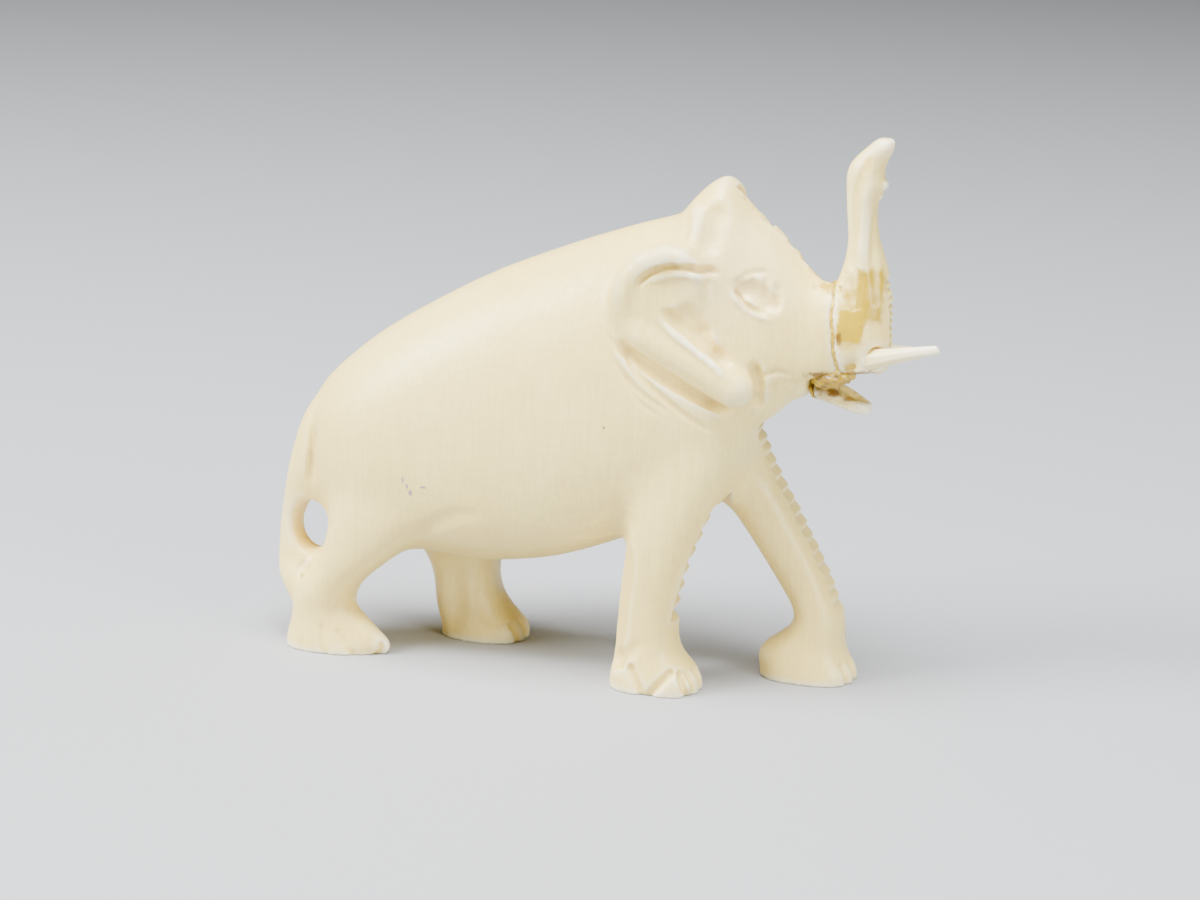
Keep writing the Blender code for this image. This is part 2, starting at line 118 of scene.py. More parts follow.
class Block:
    """Ivory between two corners, as distances on a grid of cells."""

    def __init__(self, low, high, cell):
        self.cell = cell
        self.band = ceil(KNOWN_DEPTH / cell)
        self.low = np.floor(np.array(low) / cell).astype(int)
        self.size = np.ceil(np.array(high) / cell).astype(int) - self.low + 1
        self.field = np.full(self.size, self.band * cell, np.float32)

    def distances_of(self, mesh):
        """Distances to a closed mesh whose points are in metres."""
        mesh.calc_loop_triangles()
        points = np.empty(len(mesh.vertices) * 3, np.float32)
        mesh.vertices.foreach_get("co", points)
        faces = np.empty(len(mesh.loop_triangles) * 3, np.int32)
        mesh.loop_triangles.foreach_get("vertices", faces)
        grid = openvdb.FloatGrid.createLevelSetFromPolygons(
            points.reshape(-1, 3) / MM,
            triangles=faces.reshape(-1, 3).astype(np.uint32),
            transform=openvdb.createLinearTransform(voxelSize=self.cell),
            halfWidth=self.band,
        )
        found = np.empty(self.size, np.float32)
        grid.copyToArray(found, ijk=tuple(int(n) for n in self.low))
        return found

    def take_in(self, *nodes):
        for node in nodes:
            self.field = np.minimum(self.field, self.distances_of(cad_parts[node].data))

    def places(self, part=None):
        part = part or tuple(slice(0, n) for n in self.size)
        axes = [(np.arange(s.start, s.stop) + low) * self.cell for s, low in zip(part, self.low)]
        return np.meshgrid(*axes, indexing="ij", sparse=True)

    def window(self, points, margin):
        """The cells around some points, as slices."""
        first = np.floor((np.min(points, axis=0) - margin) / self.cell).astype(int) - self.low
        last = np.ceil((np.max(points, axis=0) + margin) / self.cell).astype(int) - self.low + 1
        first, last = np.clip(first, 0, self.size), np.clip(last, 0, self.size)
        return tuple(slice(int(a), int(b)) for a, b in zip(first, last))

    def blurred(self, width):
        """The distances averaged over a width in mm."""
        spread = width / self.cell
        reach = ceil(2.5 * spread)
        weights = np.exp(-0.5 * (np.arange(-reach, reach + 1) / spread) ** 2)
        weights = (weights / weights.sum()).astype(np.float32)
        soft = self.field
        for axis in range(3):
            rim = [(reach, reach) if n == axis else (0, 0) for n in range(3)]
            padded = np.pad(soft, rim, mode="edge")
            total = np.zeros_like(soft)
            for offset, weight in enumerate(weights):
                part = [slice(None)] * 3
                part[axis] = slice(offset, offset + soft.shape[axis])
                total += weight * padded[tuple(part)]
            soft = total
        return soft

    def read(self, field, points):
        """A field's values at points in mm."""
        spots = points / self.cell - self.low
        spots = np.clip(spots, 0, self.size - 1.001)
        base = np.floor(spots).astype(int)
        share = spots - base
        total = 0
        for corner in np.ndindex(2, 2, 2):
            weight = np.prod(np.where(corner, share, 1 - share), axis=-1)
            i, j, k = (base + corner).T
            total = total + weight * field[i, j, k]
        return total

    def touch(self, place, axis, direction):
        """Where a probe first meets the skin, and the skin's outward normal there."""
        line = (np.array(place) / self.cell - self.low).round().astype(int)
        line = np.clip(line, 2, self.size - 3)
        if direction > 0:
            steps = np.arange(line[axis], self.size[axis] - 2)
        else:
            steps = np.arange(line[axis], 1, -1)
        index = [line[0], line[1], line[2]]
        index[axis] = steps
        values = self.field[tuple(index)]
        hit = int(np.argmax(values < 0))
        before, after = values[hit - 1], values[hit]
        found = np.array(place, float)
        found[axis] = (steps[hit] - direction * after / (after - before) + self.low[axis]) * self.cell
        nudges = np.eye(3) * self.cell
        normal = self.read(self.field, found + nudges) - self.read(self.field, found - nudges)
        return found, normal / np.linalg.norm(normal)

    def skin_at(self, places, axis, direction):
        """Where probes from the places meet the skin: points and normals, as two arrays."""
        touched = [self.touch(place, axis, direction) for place in places]
        return np.array([hit[0] for hit in touched]), np.array([hit[1] for hit in touched])

    def on_skin(self, points, side):
        """A smooth side-view path (x, z) laid on the right (-1) or left (+1) skin."""
        return self.skin_at([(x, side * OUTSIDE, z) for x, z in smooth_path(points)], 1, -side)

    def follow(self, skin, radius, reach, run_out):
        """A bar's points, normals, reach past the skin and radii, less where it runs out."""
        points, normals = skin
        fade = np.ones(len(points))
        if run_out > 0:
            part = np.linspace(0, 1, len(points))
            fade = np.clip(np.minimum(part, 1 - part) / run_out, 0, 1)
            fade = fade * fade * (3 - 2 * fade)
        return points, normals, reach * (fade * 1.3 - 0.3), radius * (0.75 + 0.25 * fade)

    def gouge(self, skin, radius, depth, soft=0.3, run_out=0.25):
        points, normals, sunk, radii = self.follow(skin, radius, depth, run_out)
        path = points + normals * (radii - sunk)[:, None]
        part = self.window(path, radius + soft + 2 * self.cell)
        bar = bar_distance(self.places(part), path, radii)
        self.field[part] = -lower_of(-self.field[part], bar, soft)

    def bead(self, skin, radius, height, soft=0.6, run_out=0.25):
        points, normals, proud, radii = self.follow(skin, radius, height, run_out)
        path = points - normals * (radii - proud)[:, None]
        part = self.window(path, radius + soft + 2 * self.cell)
        bar = bar_distance(self.places(part), path, radii)
        self.field[part] = lower_of(self.field[part], bar, soft)

    def pare(self, path, normal, width, soft=0.35):
        """Pares a flat along a path: what is past it, within a width, goes."""
        path = smooth_path(path)
        chord = (path[-1] - path[0]) / np.linalg.norm(path[-1] - path[0])
        normal = np.array(normal, float)
        normal = normal - (normal @ chord) * chord
        normal = normal / np.linalg.norm(normal)
        part = self.window(path, width + soft)
        x, y, z = self.places(part)
        along = x * chord[0] + y * chord[1] + z * chord[2]
        level = np.interp(along, path @ chord, path @ normal)
        past = x * normal[0] + y * normal[1] + z * normal[2] - level
        near = bar_distance((x, y, z), path, np.full(len(path), width))
        waste = -lower_of(past, -near, soft)
        self.field[part] = -lower_of(-self.field[part], waste, soft)

    def skinned(self, name, faces):
        """The skin as a smooth object of about that many triangles."""
        grid = openvdb.FloatGrid(self.band * self.cell)
        grid.copyFromArray(self.field, ijk=tuple(int(n) for n in self.low))
        grid.transform = openvdb.createLinearTransform(voxelSize=self.cell)
        points, quads = grid.convertToQuads()
        mesh = bpy.data.meshes.new(name)
        mesh.from_pydata(points * MM, [], quads)
        corners = points[quads]
        spread = np.cross(corners[:, 2] - corners[:, 0], corners[:, 3] - corners[:, 1])
        if (spread * corners.mean(axis=1)).sum() < 0:
            mesh.flip_normals()
        obj = bpy.data.objects.new(name, mesh)
        bpy.context.scene.collection.objects.link(obj)
        if len(quads) * 2 > faces:
            thin = obj.modifiers.new("thin", "DECIMATE")
            thin.ratio = faces / (len(quads) * 2)
            graph = bpy.context.evaluated_depsgraph_get()
            obj.data = bpy.data.meshes.new_from_object(obj.evaluated_get(graph))
            obj.modifiers.clear()
        obj.data.shade_smooth()
        self.mark_hollows(obj)
        return obj

    def mark_hollows(self, obj):
        """Stores how hollow the skin is at each point: above 0 in a groove, below on an edge."""
        points = np.empty(len(obj.data.vertices) * 3, np.float32)
        obj.data.vertices.foreach_get("co", points)
        points = points.reshape(-1, 3) / MM
        for label, width in (("fine_hollow", 0.5), ("broad_hollow", 1.3)):
            hollow = -self.read(self.blurred(width), points) / width
            mark = obj.data.attributes.new(label, "FLOAT", "POINT")
            mark.data.foreach_set("value", hollow.astype(np.float32))


low, high = np.array(cad_box) / MM
body = Block(low - KNOWN_DEPTH, high + KNOWN_DEPTH, BODY_CELL)
body.take_in("body", "trunk", "trunk_glue")

# The feet run on straight down past the table, so that smoothing doesn't round the soles.
sole = int(round(SOLE_LAYER / BODY_CELL)) - body.low[2]
body.field[:, :, :sole] = body.field[:, :, sole : sole + 1]

# The roots of the tusks, a little grown, fill the sockets, so that smoothing keeps the skin closed.
for name in ("tusk_right", "tusk_left"):
    root_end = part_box(name + "_glue")[1].x / MM + TUSK_ROOT_KEPT
    tusk_root = body.distances_of(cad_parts[name].data) - TUSK_ROOT_GROWTH
    body.field = np.minimum(body.field, np.maximum(tusk_root, body.places()[0] - root_end))
rough = body.field
body.field = body.blurred(BODY_SOFTNESS)

# --------------------------------------------------
# Ears, eyes and head, cut in the round. Each ear is a leaf with a rolled rim, a hollow and
# a long folded lobe with a deep groove under it, and the eye is a three-cornered socket.

RIGHT, LEFT = -1, 1
EAR_RIM = ((4.1, 42.6), (4.0, 45.6), (4.6, 48.0), (6.4, 49.7), (9.0, 50.4), (11.0, 50.9))
EAR_RIM_GROOVE = ((5.6, 46.2), (6.8, 48.1), (8.6, 49.1), (10.8, 49.5), (13.2, 49.1), (15.0, 48.5))
EAR_RIM_LIP = ((7.2, 47.4), (9.0, 48.3), (11.2, 48.6), (14.0, 48.1))
EAR_LOBE = ((4.2, 42.4), (7.6, 40.8), (10.8, 39.3), (13.8, 37.8), (16.6, 36.3), (17.8, 35.8))
EAR_LOBE_CREST = ((8.3, 43.6), (10.6, 41.8), (12.8, 40.4), (15.2, 38.8), (16.8, 37.4))
EAR_HOLLOW = ((8.4, 44.8), (10.8, 43.4), (13.2, 41.9), (15.2, 40.2), (16.9, 38.4))
EAR_SHADOW = ((11.0, 44.6), (12.6, 43.5), (14.2, 41.9))
EAR_UNDER_LOBE = ((3.2, 41.2), (6.2, 39.0), (9.2, 37.2), (12.2, 35.7), (15.0, 34.3), (17.8, 33.3))
EAR_END = ((18.9, 39.2), (19.5, 36.6), (19.2, 33.6))
EYE_TOP = ((15.9, 47.5), (17.7, 48.8), (19.6, 48.9))
EYE_FRONT = ((20.6, 48.0), (20.9, 46.2), (20.8, 44.4))
EYE_LID = ((15.6, 47.1), (16.6, 45.7), (17.9, 44.7), (20.9, 43.6))
EYE_LID_GROOVE = ((16.0, 47.2), (17.0, 46.0), (18.2, 45.2), (20.6, 44.2))
EYE_FACETS = (((18.0, 48.4), (18.1, 47.2), (18.6, 45.9)), ((19.5, 48.5), (19.5, 47.2), (19.4, 46.0)))

EYE_SOCKET = ((17.2, 47.0), (18.6, 46.9), (19.9, 45.8))
EAR_BOWL = ((10.6, 47.4), (12.6, 44.8))
CROWN_RIDGE = ((10.2, 55.6), (11.2, 54.4), (11.4, 52.4), (11.0, 51.0))
CROWN_FLUTE = ((13.6, 55.6), (13.4, 53.6), (13.6, 51.2))
UPPER_CHEEK = ((19.6, 37.3), (21.2, 38.2), (23.0, 37.6))
LOWER_CHEEK = ((20.4, 36.2), (22.0, 37.0), (24.0, 36.8))

# Each cut or bead: path, radius, depth or height, softness, and its run-out if it isn't a quarter.
CUT, RAISE = Block.gouge, Block.bead
HEAD_CARVING = (
    (CUT, EAR_BOWL, 4.6, 0.9, 1.0, 0),
    (CUT, EAR_UNDER_LOBE, 0.95, 1.2, 0.3, 0.2),
    (CUT, EAR_END, 0.8, 0.8, 0.35),
    (RAISE, EAR_RIM, 1.5, 0.5, 0.7),
    (RAISE, EAR_LOBE, 2.1, 0.6, 0.6, 0.15),
    (CUT, EAR_HOLLOW, 0.9, 1.1, 0.3),
    (CUT, EAR_SHADOW, 1.3, 0.8, 0.6),
    (RAISE, EAR_LOBE_CREST, 0.45, 0.35, 0.25),
    (CUT, EAR_RIM_GROOVE, 0.5, 0.75, 0.2),
    (RAISE, EAR_RIM_LIP, 0.4, 0.3, 0.25),
    (CUT, EYE_SOCKET, 1.3, 0.75, 0.35, 0),
    (CUT, EYE_TOP, 0.35, 0.18, 0.3),
    (CUT, EYE_FRONT, 0.5, 0.3, 0.3),
    (RAISE, EYE_LID, 0.28, 0.18, 0.2),
    (CUT, EYE_LID_GROOVE, 0.28, 0.45, 0.12),
    (CUT, EYE_FACETS[0], 0.5, 0.12, 0.3),
    (CUT, EYE_FACETS[1], 0.5, 0.12, 0.3),
    (RAISE, CROWN_RIDGE, 1.0, 0.45, 0.7),
    (CUT, CROWN_FLUTE, 1.5, 0.6, 0.7),
    (CUT, UPPER_CHEEK, 0.35, 0.25, 0.2),
    (CUT, LOWER_CHEEK, 0.35, 0.2, 0.2),
)
for side in (RIGHT, LEFT):
    for tool, path, *sizes in HEAD_CARVING:
        tool(body, body.on_skin(path, side), *sizes)

# Fine scratches of the knife below the ear: start, end and depth, each a little sagging.
STROKE_RADIUS = 0.4
STROKE_SAG = (-0.4, -0.6)
NECK_STROKES = (
    ((2.2, 41.6), (15.8, 30.4), 0.35),
    ((2.8, 39.4), (10.8, 32.8), 0.25),
    ((4.6, 37.2), (9.6, 32.4), 0.16),
    ((11.4, 34.8), (18.2, 29.4), 0.25),
    ((12.8, 34.6), (18.4, 30.6), 0.18),
)
for side in (RIGHT, LEFT):
    for start, end, depth in NECK_STROKES:
        middle = ((start[0] + end[0]) / 2 + STROKE_SAG[0], (start[1] + end[1]) / 2 + STROKE_SAG[1])
        body.gouge(body.on_skin((start, middle, end), side), STROKE_RADIUS, depth, soft=0.2, run_out=0.3)

# The brow stands a little proud along its middle, where the row of notches is cut.
BROW_START, BROW_END = 15.0, 25.2
brow = body.skin_at([(x, 0, FAR_OUTSIDE) for x in np.linspace(BROW_START, BROW_END, 18)], 2, -1)
body.bead(brow, 1.6, 0.3, soft=0.9)

# --------------------------------------------------
# Rows of notches. The carver nicked the brow, the front of both forelegs and the front of
# the trunk with the corner of a flat chisel, at an even pitch and a little by hand.


def node(tree, kind, inputs=(), **settings):
    """A new shader node, its settings made and its inputs set, or joined where they are sockets."""
    made = tree.nodes.new(kind)
    for label, value in settings.items():
        setattr(made, label, value)
    for key, value in dict(inputs).items():
        if isinstance(value, bpy.types.NodeSocket):
            tree.links.new(value, made.inputs[key])
        else:
            made.inputs[key].default_value = value
    return made


def sum_of(tree, a, b, operation="ADD"):
    """Two numbers added, or put together by another operation."""
    return node(tree, "ShaderNodeMath", {0: a, 1: b}, operation=operation).outputs["Value"]


def chisel_row_tree():
    """Geometry Nodes: a four-sided chisel cut along each of the given lines."""
    tree = bpy.data.node_groups.new("chisel_row", "GeometryNodeTree")
    for label, kind in (("Lines", "Geometry"), ("Depth", "Float"), ("Breadth", "Float"),
                        ("Wobble", "Float"), ("Seed", "Int"), ("Material", "Material")):
        tree.interface.new_socket(label, in_out="INPUT", socket_type="NodeSocket" + kind)
    tree.interface.new_socket("Cuts", in_out="OUTPUT", socket_type="NodeSocketGeometry")
    given = tree.nodes.new("NodeGroupInput").outputs
    made = tree.nodes.new("NodeGroupOutput")

    lines = node(tree, "GeometryNodeMeshToCurve", {"Mesh": given["Lines"]}).outputs["Curve"]
    lines = node(tree, "GeometryNodeSetCurveNormal", {"Curve": lines}, mode="Z_UP").outputs["Curve"]
    least = sum_of(tree, 1.0, given["Wobble"], "SUBTRACT")
    most = sum_of(tree, 1.0, given["Wobble"])
    which = node(tree, "GeometryNodeCurveOfPoint").outputs["Curve Index"]
    chances = {2: least, 3: most, "ID": which, "Seed": given["Seed"]}
    wobble = node(tree, "FunctionNodeRandomValue", chances).outputs[1]
    sized = sum_of(tree, wobble, given["Depth"], "MULTIPLY")

    blade = node(tree, "GeometryNodeCurvePrimitiveCircle", {"Resolution": 4}).outputs["Curve"]
    wide = node(tree, "ShaderNodeCombineXYZ", {"X": 1.0, "Y": given["Breadth"], "Z": 1.0}).outputs["Vector"]
    blade = node(tree, "GeometryNodeTransform", {"Geometry": blade, "Scale": wide}).outputs["Geometry"]
    swept = {"Curve": lines, "Profile Curve": blade, "Scale": sized, "Fill Caps": True}
    cuts = node(tree, "GeometryNodeCurveToMesh", swept).outputs["Mesh"]
    cuts = node(tree, "GeometryNodeRealizeInstances", {"Geometry": cuts}).outputs["Geometry"]
    finished = {"Geometry": cuts, "Material": given["Material"]}
    cuts = node(tree, "GeometryNodeSetMaterial", finished).outputs["Geometry"]
    tree.links.new(cuts, made.inputs["Cuts"])
    return tree


NOTCH_SOFTNESS = 0.15
RUN_OUT_LIFT = 1.4
EDGE_LEAN = 0.32
chisel_row = chisel_row_tree()
chisel_steel = bpy.data.materials.new("chisel_steel")


def cut_row(block, lines, depth, breadth, wobble, seed):
    """Cuts a notch along each line of points in mm, so deep and so many times as broad."""
    points, edges = [], []
    for line in lines:
        edges += [(len(points) + n, len(points) + n + 1) for n in range(len(line) - 1)]
        points += [Vector(point) * MM for point in line]
    mesh = bpy.data.meshes.new("chisel_lines")
    mesh.from_pydata(points, edges, [])
    obj = bpy.data.objects.new("chisel_lines", mesh)
    bpy.context.scene.collection.objects.link(obj)
    tool = obj.modifiers.new("chisel_row", "NODES")
    tool.node_group = chisel_row
    named = {item.name: item.identifier for item in chisel_row.interface.items_tree}
    tool[named["Depth"]] = depth * MM
    tool[named["Breadth"]] = breadth
    tool[named["Wobble"]] = wobble
    tool[named["Seed"]] = seed
    tool[named["Material"]] = chisel_steel
    graph = bpy.context.evaluated_depsgraph_get()
    cuts = bpy.data.meshes.new_from_object(obj.evaluated_get(graph))
    bpy.data.objects.remove(obj)
    block.field = -lower_of(-block.field, block.distances_of(cuts), NOTCH_SOFTNESS)


def kept_by_edge(hits, forward, lift, wrap):
    """The hits within a wrap of the one farthest forward, lifted off the skin as they leave it.

    A probe that misses the ivory ends past the block's high corner, and is left out.
    """
    hits = [(point, normal, float(point @ forward)) for point, normal in hits if point[0] < high[0]]
    farthest = max(reach for point, normal, reach in hits)
    line = []
    for point, normal, reach in hits:
        back = (farthest - reach) / wrap
        if back < 1:
            line.append(point + normal * lift * (1 + RUN_OUT_LIFT * back * back))
    return line


def lines_down_front(block, widths, heights, lift, wrap):
    """Level lines on the edge of a front face that is farthest forward and to the left."""
    lines = []
    for z in heights:
        hits = [block.touch((FAR_OUTSIDE, y, z), 0, -1) for y in np.linspace(*widths, 41)]
        lines.append(kept_by_edge(hits, np.array([1.0, EDGE_LEAN, 0.0]), lift, wrap))
    return lines


# Each foreleg: where its face starts and ends, lowest and highest notch, pitch, depth, lift.
LEG_WRAP = 1.1
LEG_BREADTH = 1.1
LEG_WOBBLE = 0.16
LEG_NOTCHES = (
    (-9.6, -1.2, 9.0, 22.4, 1.95, 1.25, 0.28),
    (1.2, 9.6, 9.0, 31.0, 1.4, 0.85, 0.24),
)
for seed, (start, end, lowest, highest, pitch, depth, lift) in enumerate(LEG_NOTCHES):
    lines = lines_down_front(body, (start, end), np.arange(lowest, highest, pitch), lift, LEG_WRAP)
    cut_row(body, lines, depth, LEG_BREADTH, LEG_WOBBLE, seed)

BROW_LEAN = 0.45
BROW_PITCH = 0.85
BROW_SIDES = (-3.4, 4.4)
brow_lines = []
for x in np.arange(BROW_START, BROW_END + 0.2, BROW_PITCH):
    hits = [body.touch((x, y, FAR_OUTSIDE), 2, -1) for y in np.linspace(*BROW_SIDES, 33)]
    brow_lines.append(kept_by_edge(hits, np.array([0.0, BROW_LEAN, 1.0]), lift=0.12, wrap=0.9))
cut_row(body, brow_lines, depth=0.78, breadth=1.0, wobble=0.25, seed=7)

# --------------------------------------------------
# Legs, tail and belly, pared and creased: flats down the backs of the legs, folds above
# the feet, toes parted by short cuts, a groove beside the tail and soft folds at the belly.

# Flats down the backs of the forelegs: path, the way each flat faces, and its width.
LEG_BACKS = (
    (((5.2, -8.5, 4.5), (5.5, -8.4, 9.0), (6.0, -8.5, 15.5), (5.6, -9.2, 19.0)), (-0.8, -0.6, 0.1), 2.0),
    (((21.6, 1.4, 9.2), (19.6, 1.2, 13.4), (17.9, 1.0, 16.0), (13.9, 0.8, 22.0)), (-0.9, -0.8, -0.5), 2.6),
)
for path, normal, width in LEG_BACKS:
    body.pare(path, normal, width, soft=0.12)

# The right hind foot ends in a long low toe.
HIND_TOE_BACK, HIND_TOE_TIP = 2.6, 1.1
hind_toe = smooth_path(((-29.5, -6.2, 2.6), (-27.0, -6.6, 1.6), (-25.0, -6.7, 0.9)))
part = body.window(hind_toe, 3.5)
toe = bar_distance(body.places(part), hind_toe, np.linspace(HIND_TOE_BACK, HIND_TOE_TIP, len(hind_toe)))
body.field[part] = lower_of(body.field[part], toe, 1.2)

# Folds of the belly, the shoulder and the ankles, and the groove beside the tail: radius, depth.
SIDE_FOLDS = (
    (RIGHT, ((-0.6, 17.2), (1.8, 17.8), (4.2, 20.2), (6.0, 23.0)), 2.2, 0.35),
    (RIGHT, ((19.4, 33.4), (18.5, 29.0), (17.1, 25.6), (15.9, 23.2)), 1.2, 0.6),
    (RIGHT, ((4.0, 2.8), (5.8, 4.4), (7.8, 6.0)), 1.2, 0.3),
    (RIGHT, ((-21.0, 14.6), (-18.4, 16.6), (-15.2, 18.4), (-12.4, 19.0)), 1.6, 0.3),
    (LEFT, ((14.0, 17.6), (12.6, 20.6), (10.0, 23.4)), 1.4, 0.4),
    (LEFT, ((20.2, 3.4), (22.6, 4.8), (25.4, 6.2)), 1.2, 0.25),
    (LEFT, ((-9.6, 14.6), (-10.4, 17.4), (-12.6, 20.0)), 1.6, 0.3),
    (RIGHT, ((-34.0, 28.0), (-33.8, 25.0), (-34.0, 21.6), (-34.4, 18.6)), 0.7, 0.55),
    (LEFT, ((-35.0, 28.5), (-35.2, 24.5), (-35.4, 20.5), (-35.4, 17.2)), 0.7, 0.4),
)
for side, points, radius, depth in SIDE_FOLDS:
    body.gouge(body.on_skin(points, side), radius, depth, soft=0.5, run_out=0.35)

# Cuts that part the toes, from top to sole, with their depth.
TOE_RADIUS = 0.5
TOES = (
    (RIGHT, ((6.6, 3.0), (8.2, 0.0)), 0.5),
    (RIGHT, ((11.2, 2.8), (8.8, 0.0)), 0.5),
    (RIGHT, ((12.2, 2.6), (13.2, 0.0)), 0.5),
    (RIGHT, ((-31.2, 3.0), (-30.6, 0.0)), 0.2),
    (RIGHT, ((-29.2, 2.6), (-27.4, 0.0)), 0.25),
    (LEFT, ((24.2, 3.2), (25.0, 0.0)), 0.3),
    (LEFT, ((27.0, 2.6), (28.0, 0.0)), 0.3),
    (LEFT, ((-14.4, 3.0), (-13.8, 0.0)), 0.3),
    (LEFT, ((-17.2, 2.6), (-17.0, 0.0)), 0.3),
)
for side, (upper, lower), depth in TOES:
    middle = ((upper[0] + lower[0]) / 2, (upper[1] + lower[1]) / 2)
    body.gouge(body.on_skin((upper, middle, lower), side), TOE_RADIUS, depth, soft=0.25, run_out=0)

# The same on the fronts of the feet: a place in front of the foot, each cut's y, and its top.
FRONT_TOE_DEPTH = 0.35
FRONT_TOES = (
    (19.0, (-7.4, -5.6, -3.6), 2.4),
    (40.0, (3.2, 5.2, 7.4), 2.2),
    (-21.5, (-7.6, -5.6, -3.6), 1.2),
    (0.5, (3.4, 5.4, 7.4), 2.0),
)
for start, cuts, top in FRONT_TOES:
    for y in cuts:
        skin = body.skin_at([(start, y, z) for z in np.linspace(0.0, top, 6)], 0, -1)
        body.gouge(skin, TOE_RADIUS, FRONT_TOE_DEPTH, soft=0.25, run_out=0)

# The left hind leg is scooped along its inner side.
scoop = body.skin_at([(-18.8, 0.0, z) for z in np.linspace(1.5, 9.5, 8)], 1, 1)
body.gouge(scoop, 2.4, 0.4, soft=0.8)

# All four soles end on the table.
body.field = np.maximum(body.field, -body.places()[2])

# --------------------------------------------------
# The body, behind the break. The break crosses the muzzle on a face that leans back and is
# a little uneven, and the body, the glue and the trunk piece all end on that one face.

BREAK_LEAN = radians(8.0)
BREAK_LUMP_SIZE = 3.1
BREAK_LUMP_HEIGHT = 0.1
GLUE_FILM = 0.3


def lumps(places, size, height):
    """An uneven surface: crossed waves about a size in mm apart, with finer ones over them."""
    x, y, z = places
    turn = 2 * pi / size
    first = np.sin(turn * (0.8 * x + 0.6 * y) + 1.0) * np.sin(turn * (0.9 * z - 0.3 * y))
    second = np.sin(turn * 1.7 * (0.5 * y - 0.7 * z) + 2.0) * np.sin(turn * 1.9 * (0.6 * x + 0.4 * z))
    return height * (first + 0.6 * second)


def break_distance(places):
    """How far each cell is in front of the body's side of the break."""
    low_corner, high_corner = [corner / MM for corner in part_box("trunk_glue")]
    x, y, z = places
    plane = (x - low_corner.x) * cos(BREAK_LEAN) + (z - high_corner.z) * sin(BREAK_LEAN)
    return plane + lumps(places, BREAK_LUMP_SIZE, BREAK_LUMP_HEIGHT)


body.field = np.maximum(body.field, break_distance(body.places()))
body_piece = body.skinned("elephant_body", BODY_FACES)


def effect(name, inputs, outputs):
    """A new shader node group, with its inputs and outputs."""
    tree = bpy.data.node_groups.new(name, "ShaderNodeTree")
    for label, kind, value in inputs:
        tree.interface.new_socket(label, in_out="INPUT", socket_type=kind).default_value = value
    for label, kind in outputs:
        tree.interface.new_socket(label, in_out="OUTPUT", socket_type=kind)
    return tree, tree.nodes.new("NodeGroupInput"), tree.nodes.new("NodeGroupOutput")


def in_millimetres(tree, stretch=(1, 1, 1)):
    """Object coordinates in mm, stretched along each axis."""
    place = node(tree, "ShaderNodeTexCoord").outputs["Object"]
    scale = [share / MM for share in stretch]
    return node(tree, "ShaderNodeMapping", {"Vector": place, "Scale": scale}).outputs["Vector"]


def ranged(tree, value, low, high, out_low=0.0, out_high=1.0):
    """A value's place between a low and a high, as a share from one number to another."""
    inputs = {"Value": value, "From Min": low, "From Max": high, "To Min": out_low, "To Max": out_high}
    return node(tree, "ShaderNodeMapRange", inputs).outputs["Result"]


def blend_of(tree, share, a, b):
    """Colour a, with a share of colour b over it."""
    return node(tree, "ShaderNodeMix", {0: share, 6: a, 7: b}, data_type="RGBA").outputs[2]


def noise_of(tree, place, scale, detail, roughness=0.5):
    """Soft noise from 0 to 1 at a place."""
    inputs = {"Vector": place, "Scale": scale, "Detail": detail, "Roughness": roughness}
    return node(tree, "ShaderNodeTexNoise", inputs).outputs["Fac"]


# How much each pattern is stretched along x, y and z: less than 1 draws it out.
CLOUD_STRETCH = (1, 1, 0.6)
STREAK_STRETCH = (1, 1, 0.04)
WEAVE_STRETCH = (0.12, 0.5, 1.0)


def figure_effect():
    """Ivory's figure: broad clouds, fine streaks along the tusk's grain, and a few dark pores."""
    tree, given, made = effect(
        "ivory_figure",
        [("Cloud Size", "NodeSocketFloat", 14.0), ("Streak Width", "NodeSocketFloat", 0.4)],
        [(label, "NodeSocketFloat") for label in ("Cloud", "Streak", "Pore", "Relief")],
    )
    cloud_scale = sum_of(tree, 1.0, given.outputs["Cloud Size"], "DIVIDE")
    cloud = noise_of(tree, in_millimetres(tree, CLOUD_STRETCH), cloud_scale, 2.0, 0.6)
    streak_scale = sum_of(tree, 1.0, given.outputs["Streak Width"], "DIVIDE")
    streak = noise_of(tree, in_millimetres(tree, STREAK_STRETCH), streak_scale, 2.5, 0.65)
    weave = noise_of(tree, in_millimetres(tree, WEAVE_STRETCH), streak_scale, 1.5)
    pore = node(tree, "ShaderNodeTexVoronoi", {"Vector": in_millimetres(tree), "Scale": 0.32})
    rare = node(tree, "ShaderNodeSeparateColor", {"Color": pore.outputs["Color"]}).outputs["Red"]
    small = ranged(tree, pore.outputs["Distance"], 0.06, 0.025)
    dot = sum_of(tree, small, ranged(tree, rare, 0.88, 0.92), "MULTIPLY")
    chatter = noise_of(tree, in_millimetres(tree), 0.9, 4.0, 0.6)
    relief = sum_of(tree, chatter, sum_of(tree, streak, 0.5, "MULTIPLY"))
    relief = sum_of(tree, relief, sum_of(tree, dot, 0.7, "MULTIPLY"), "SUBTRACT")
    lines = sum_of(tree, ranged(tree, streak, 0.36, 0.66), ranged(tree, weave, 0.40, 0.75, 0.0, 0.5))
    found = {"Cloud": ranged(tree, cloud, 0.32, 0.68), "Streak": lines, "Pore": dot, "Relief": relief}
    for label, value in found.items():
        tree.links.new(value, made.inputs[label])
    return tree


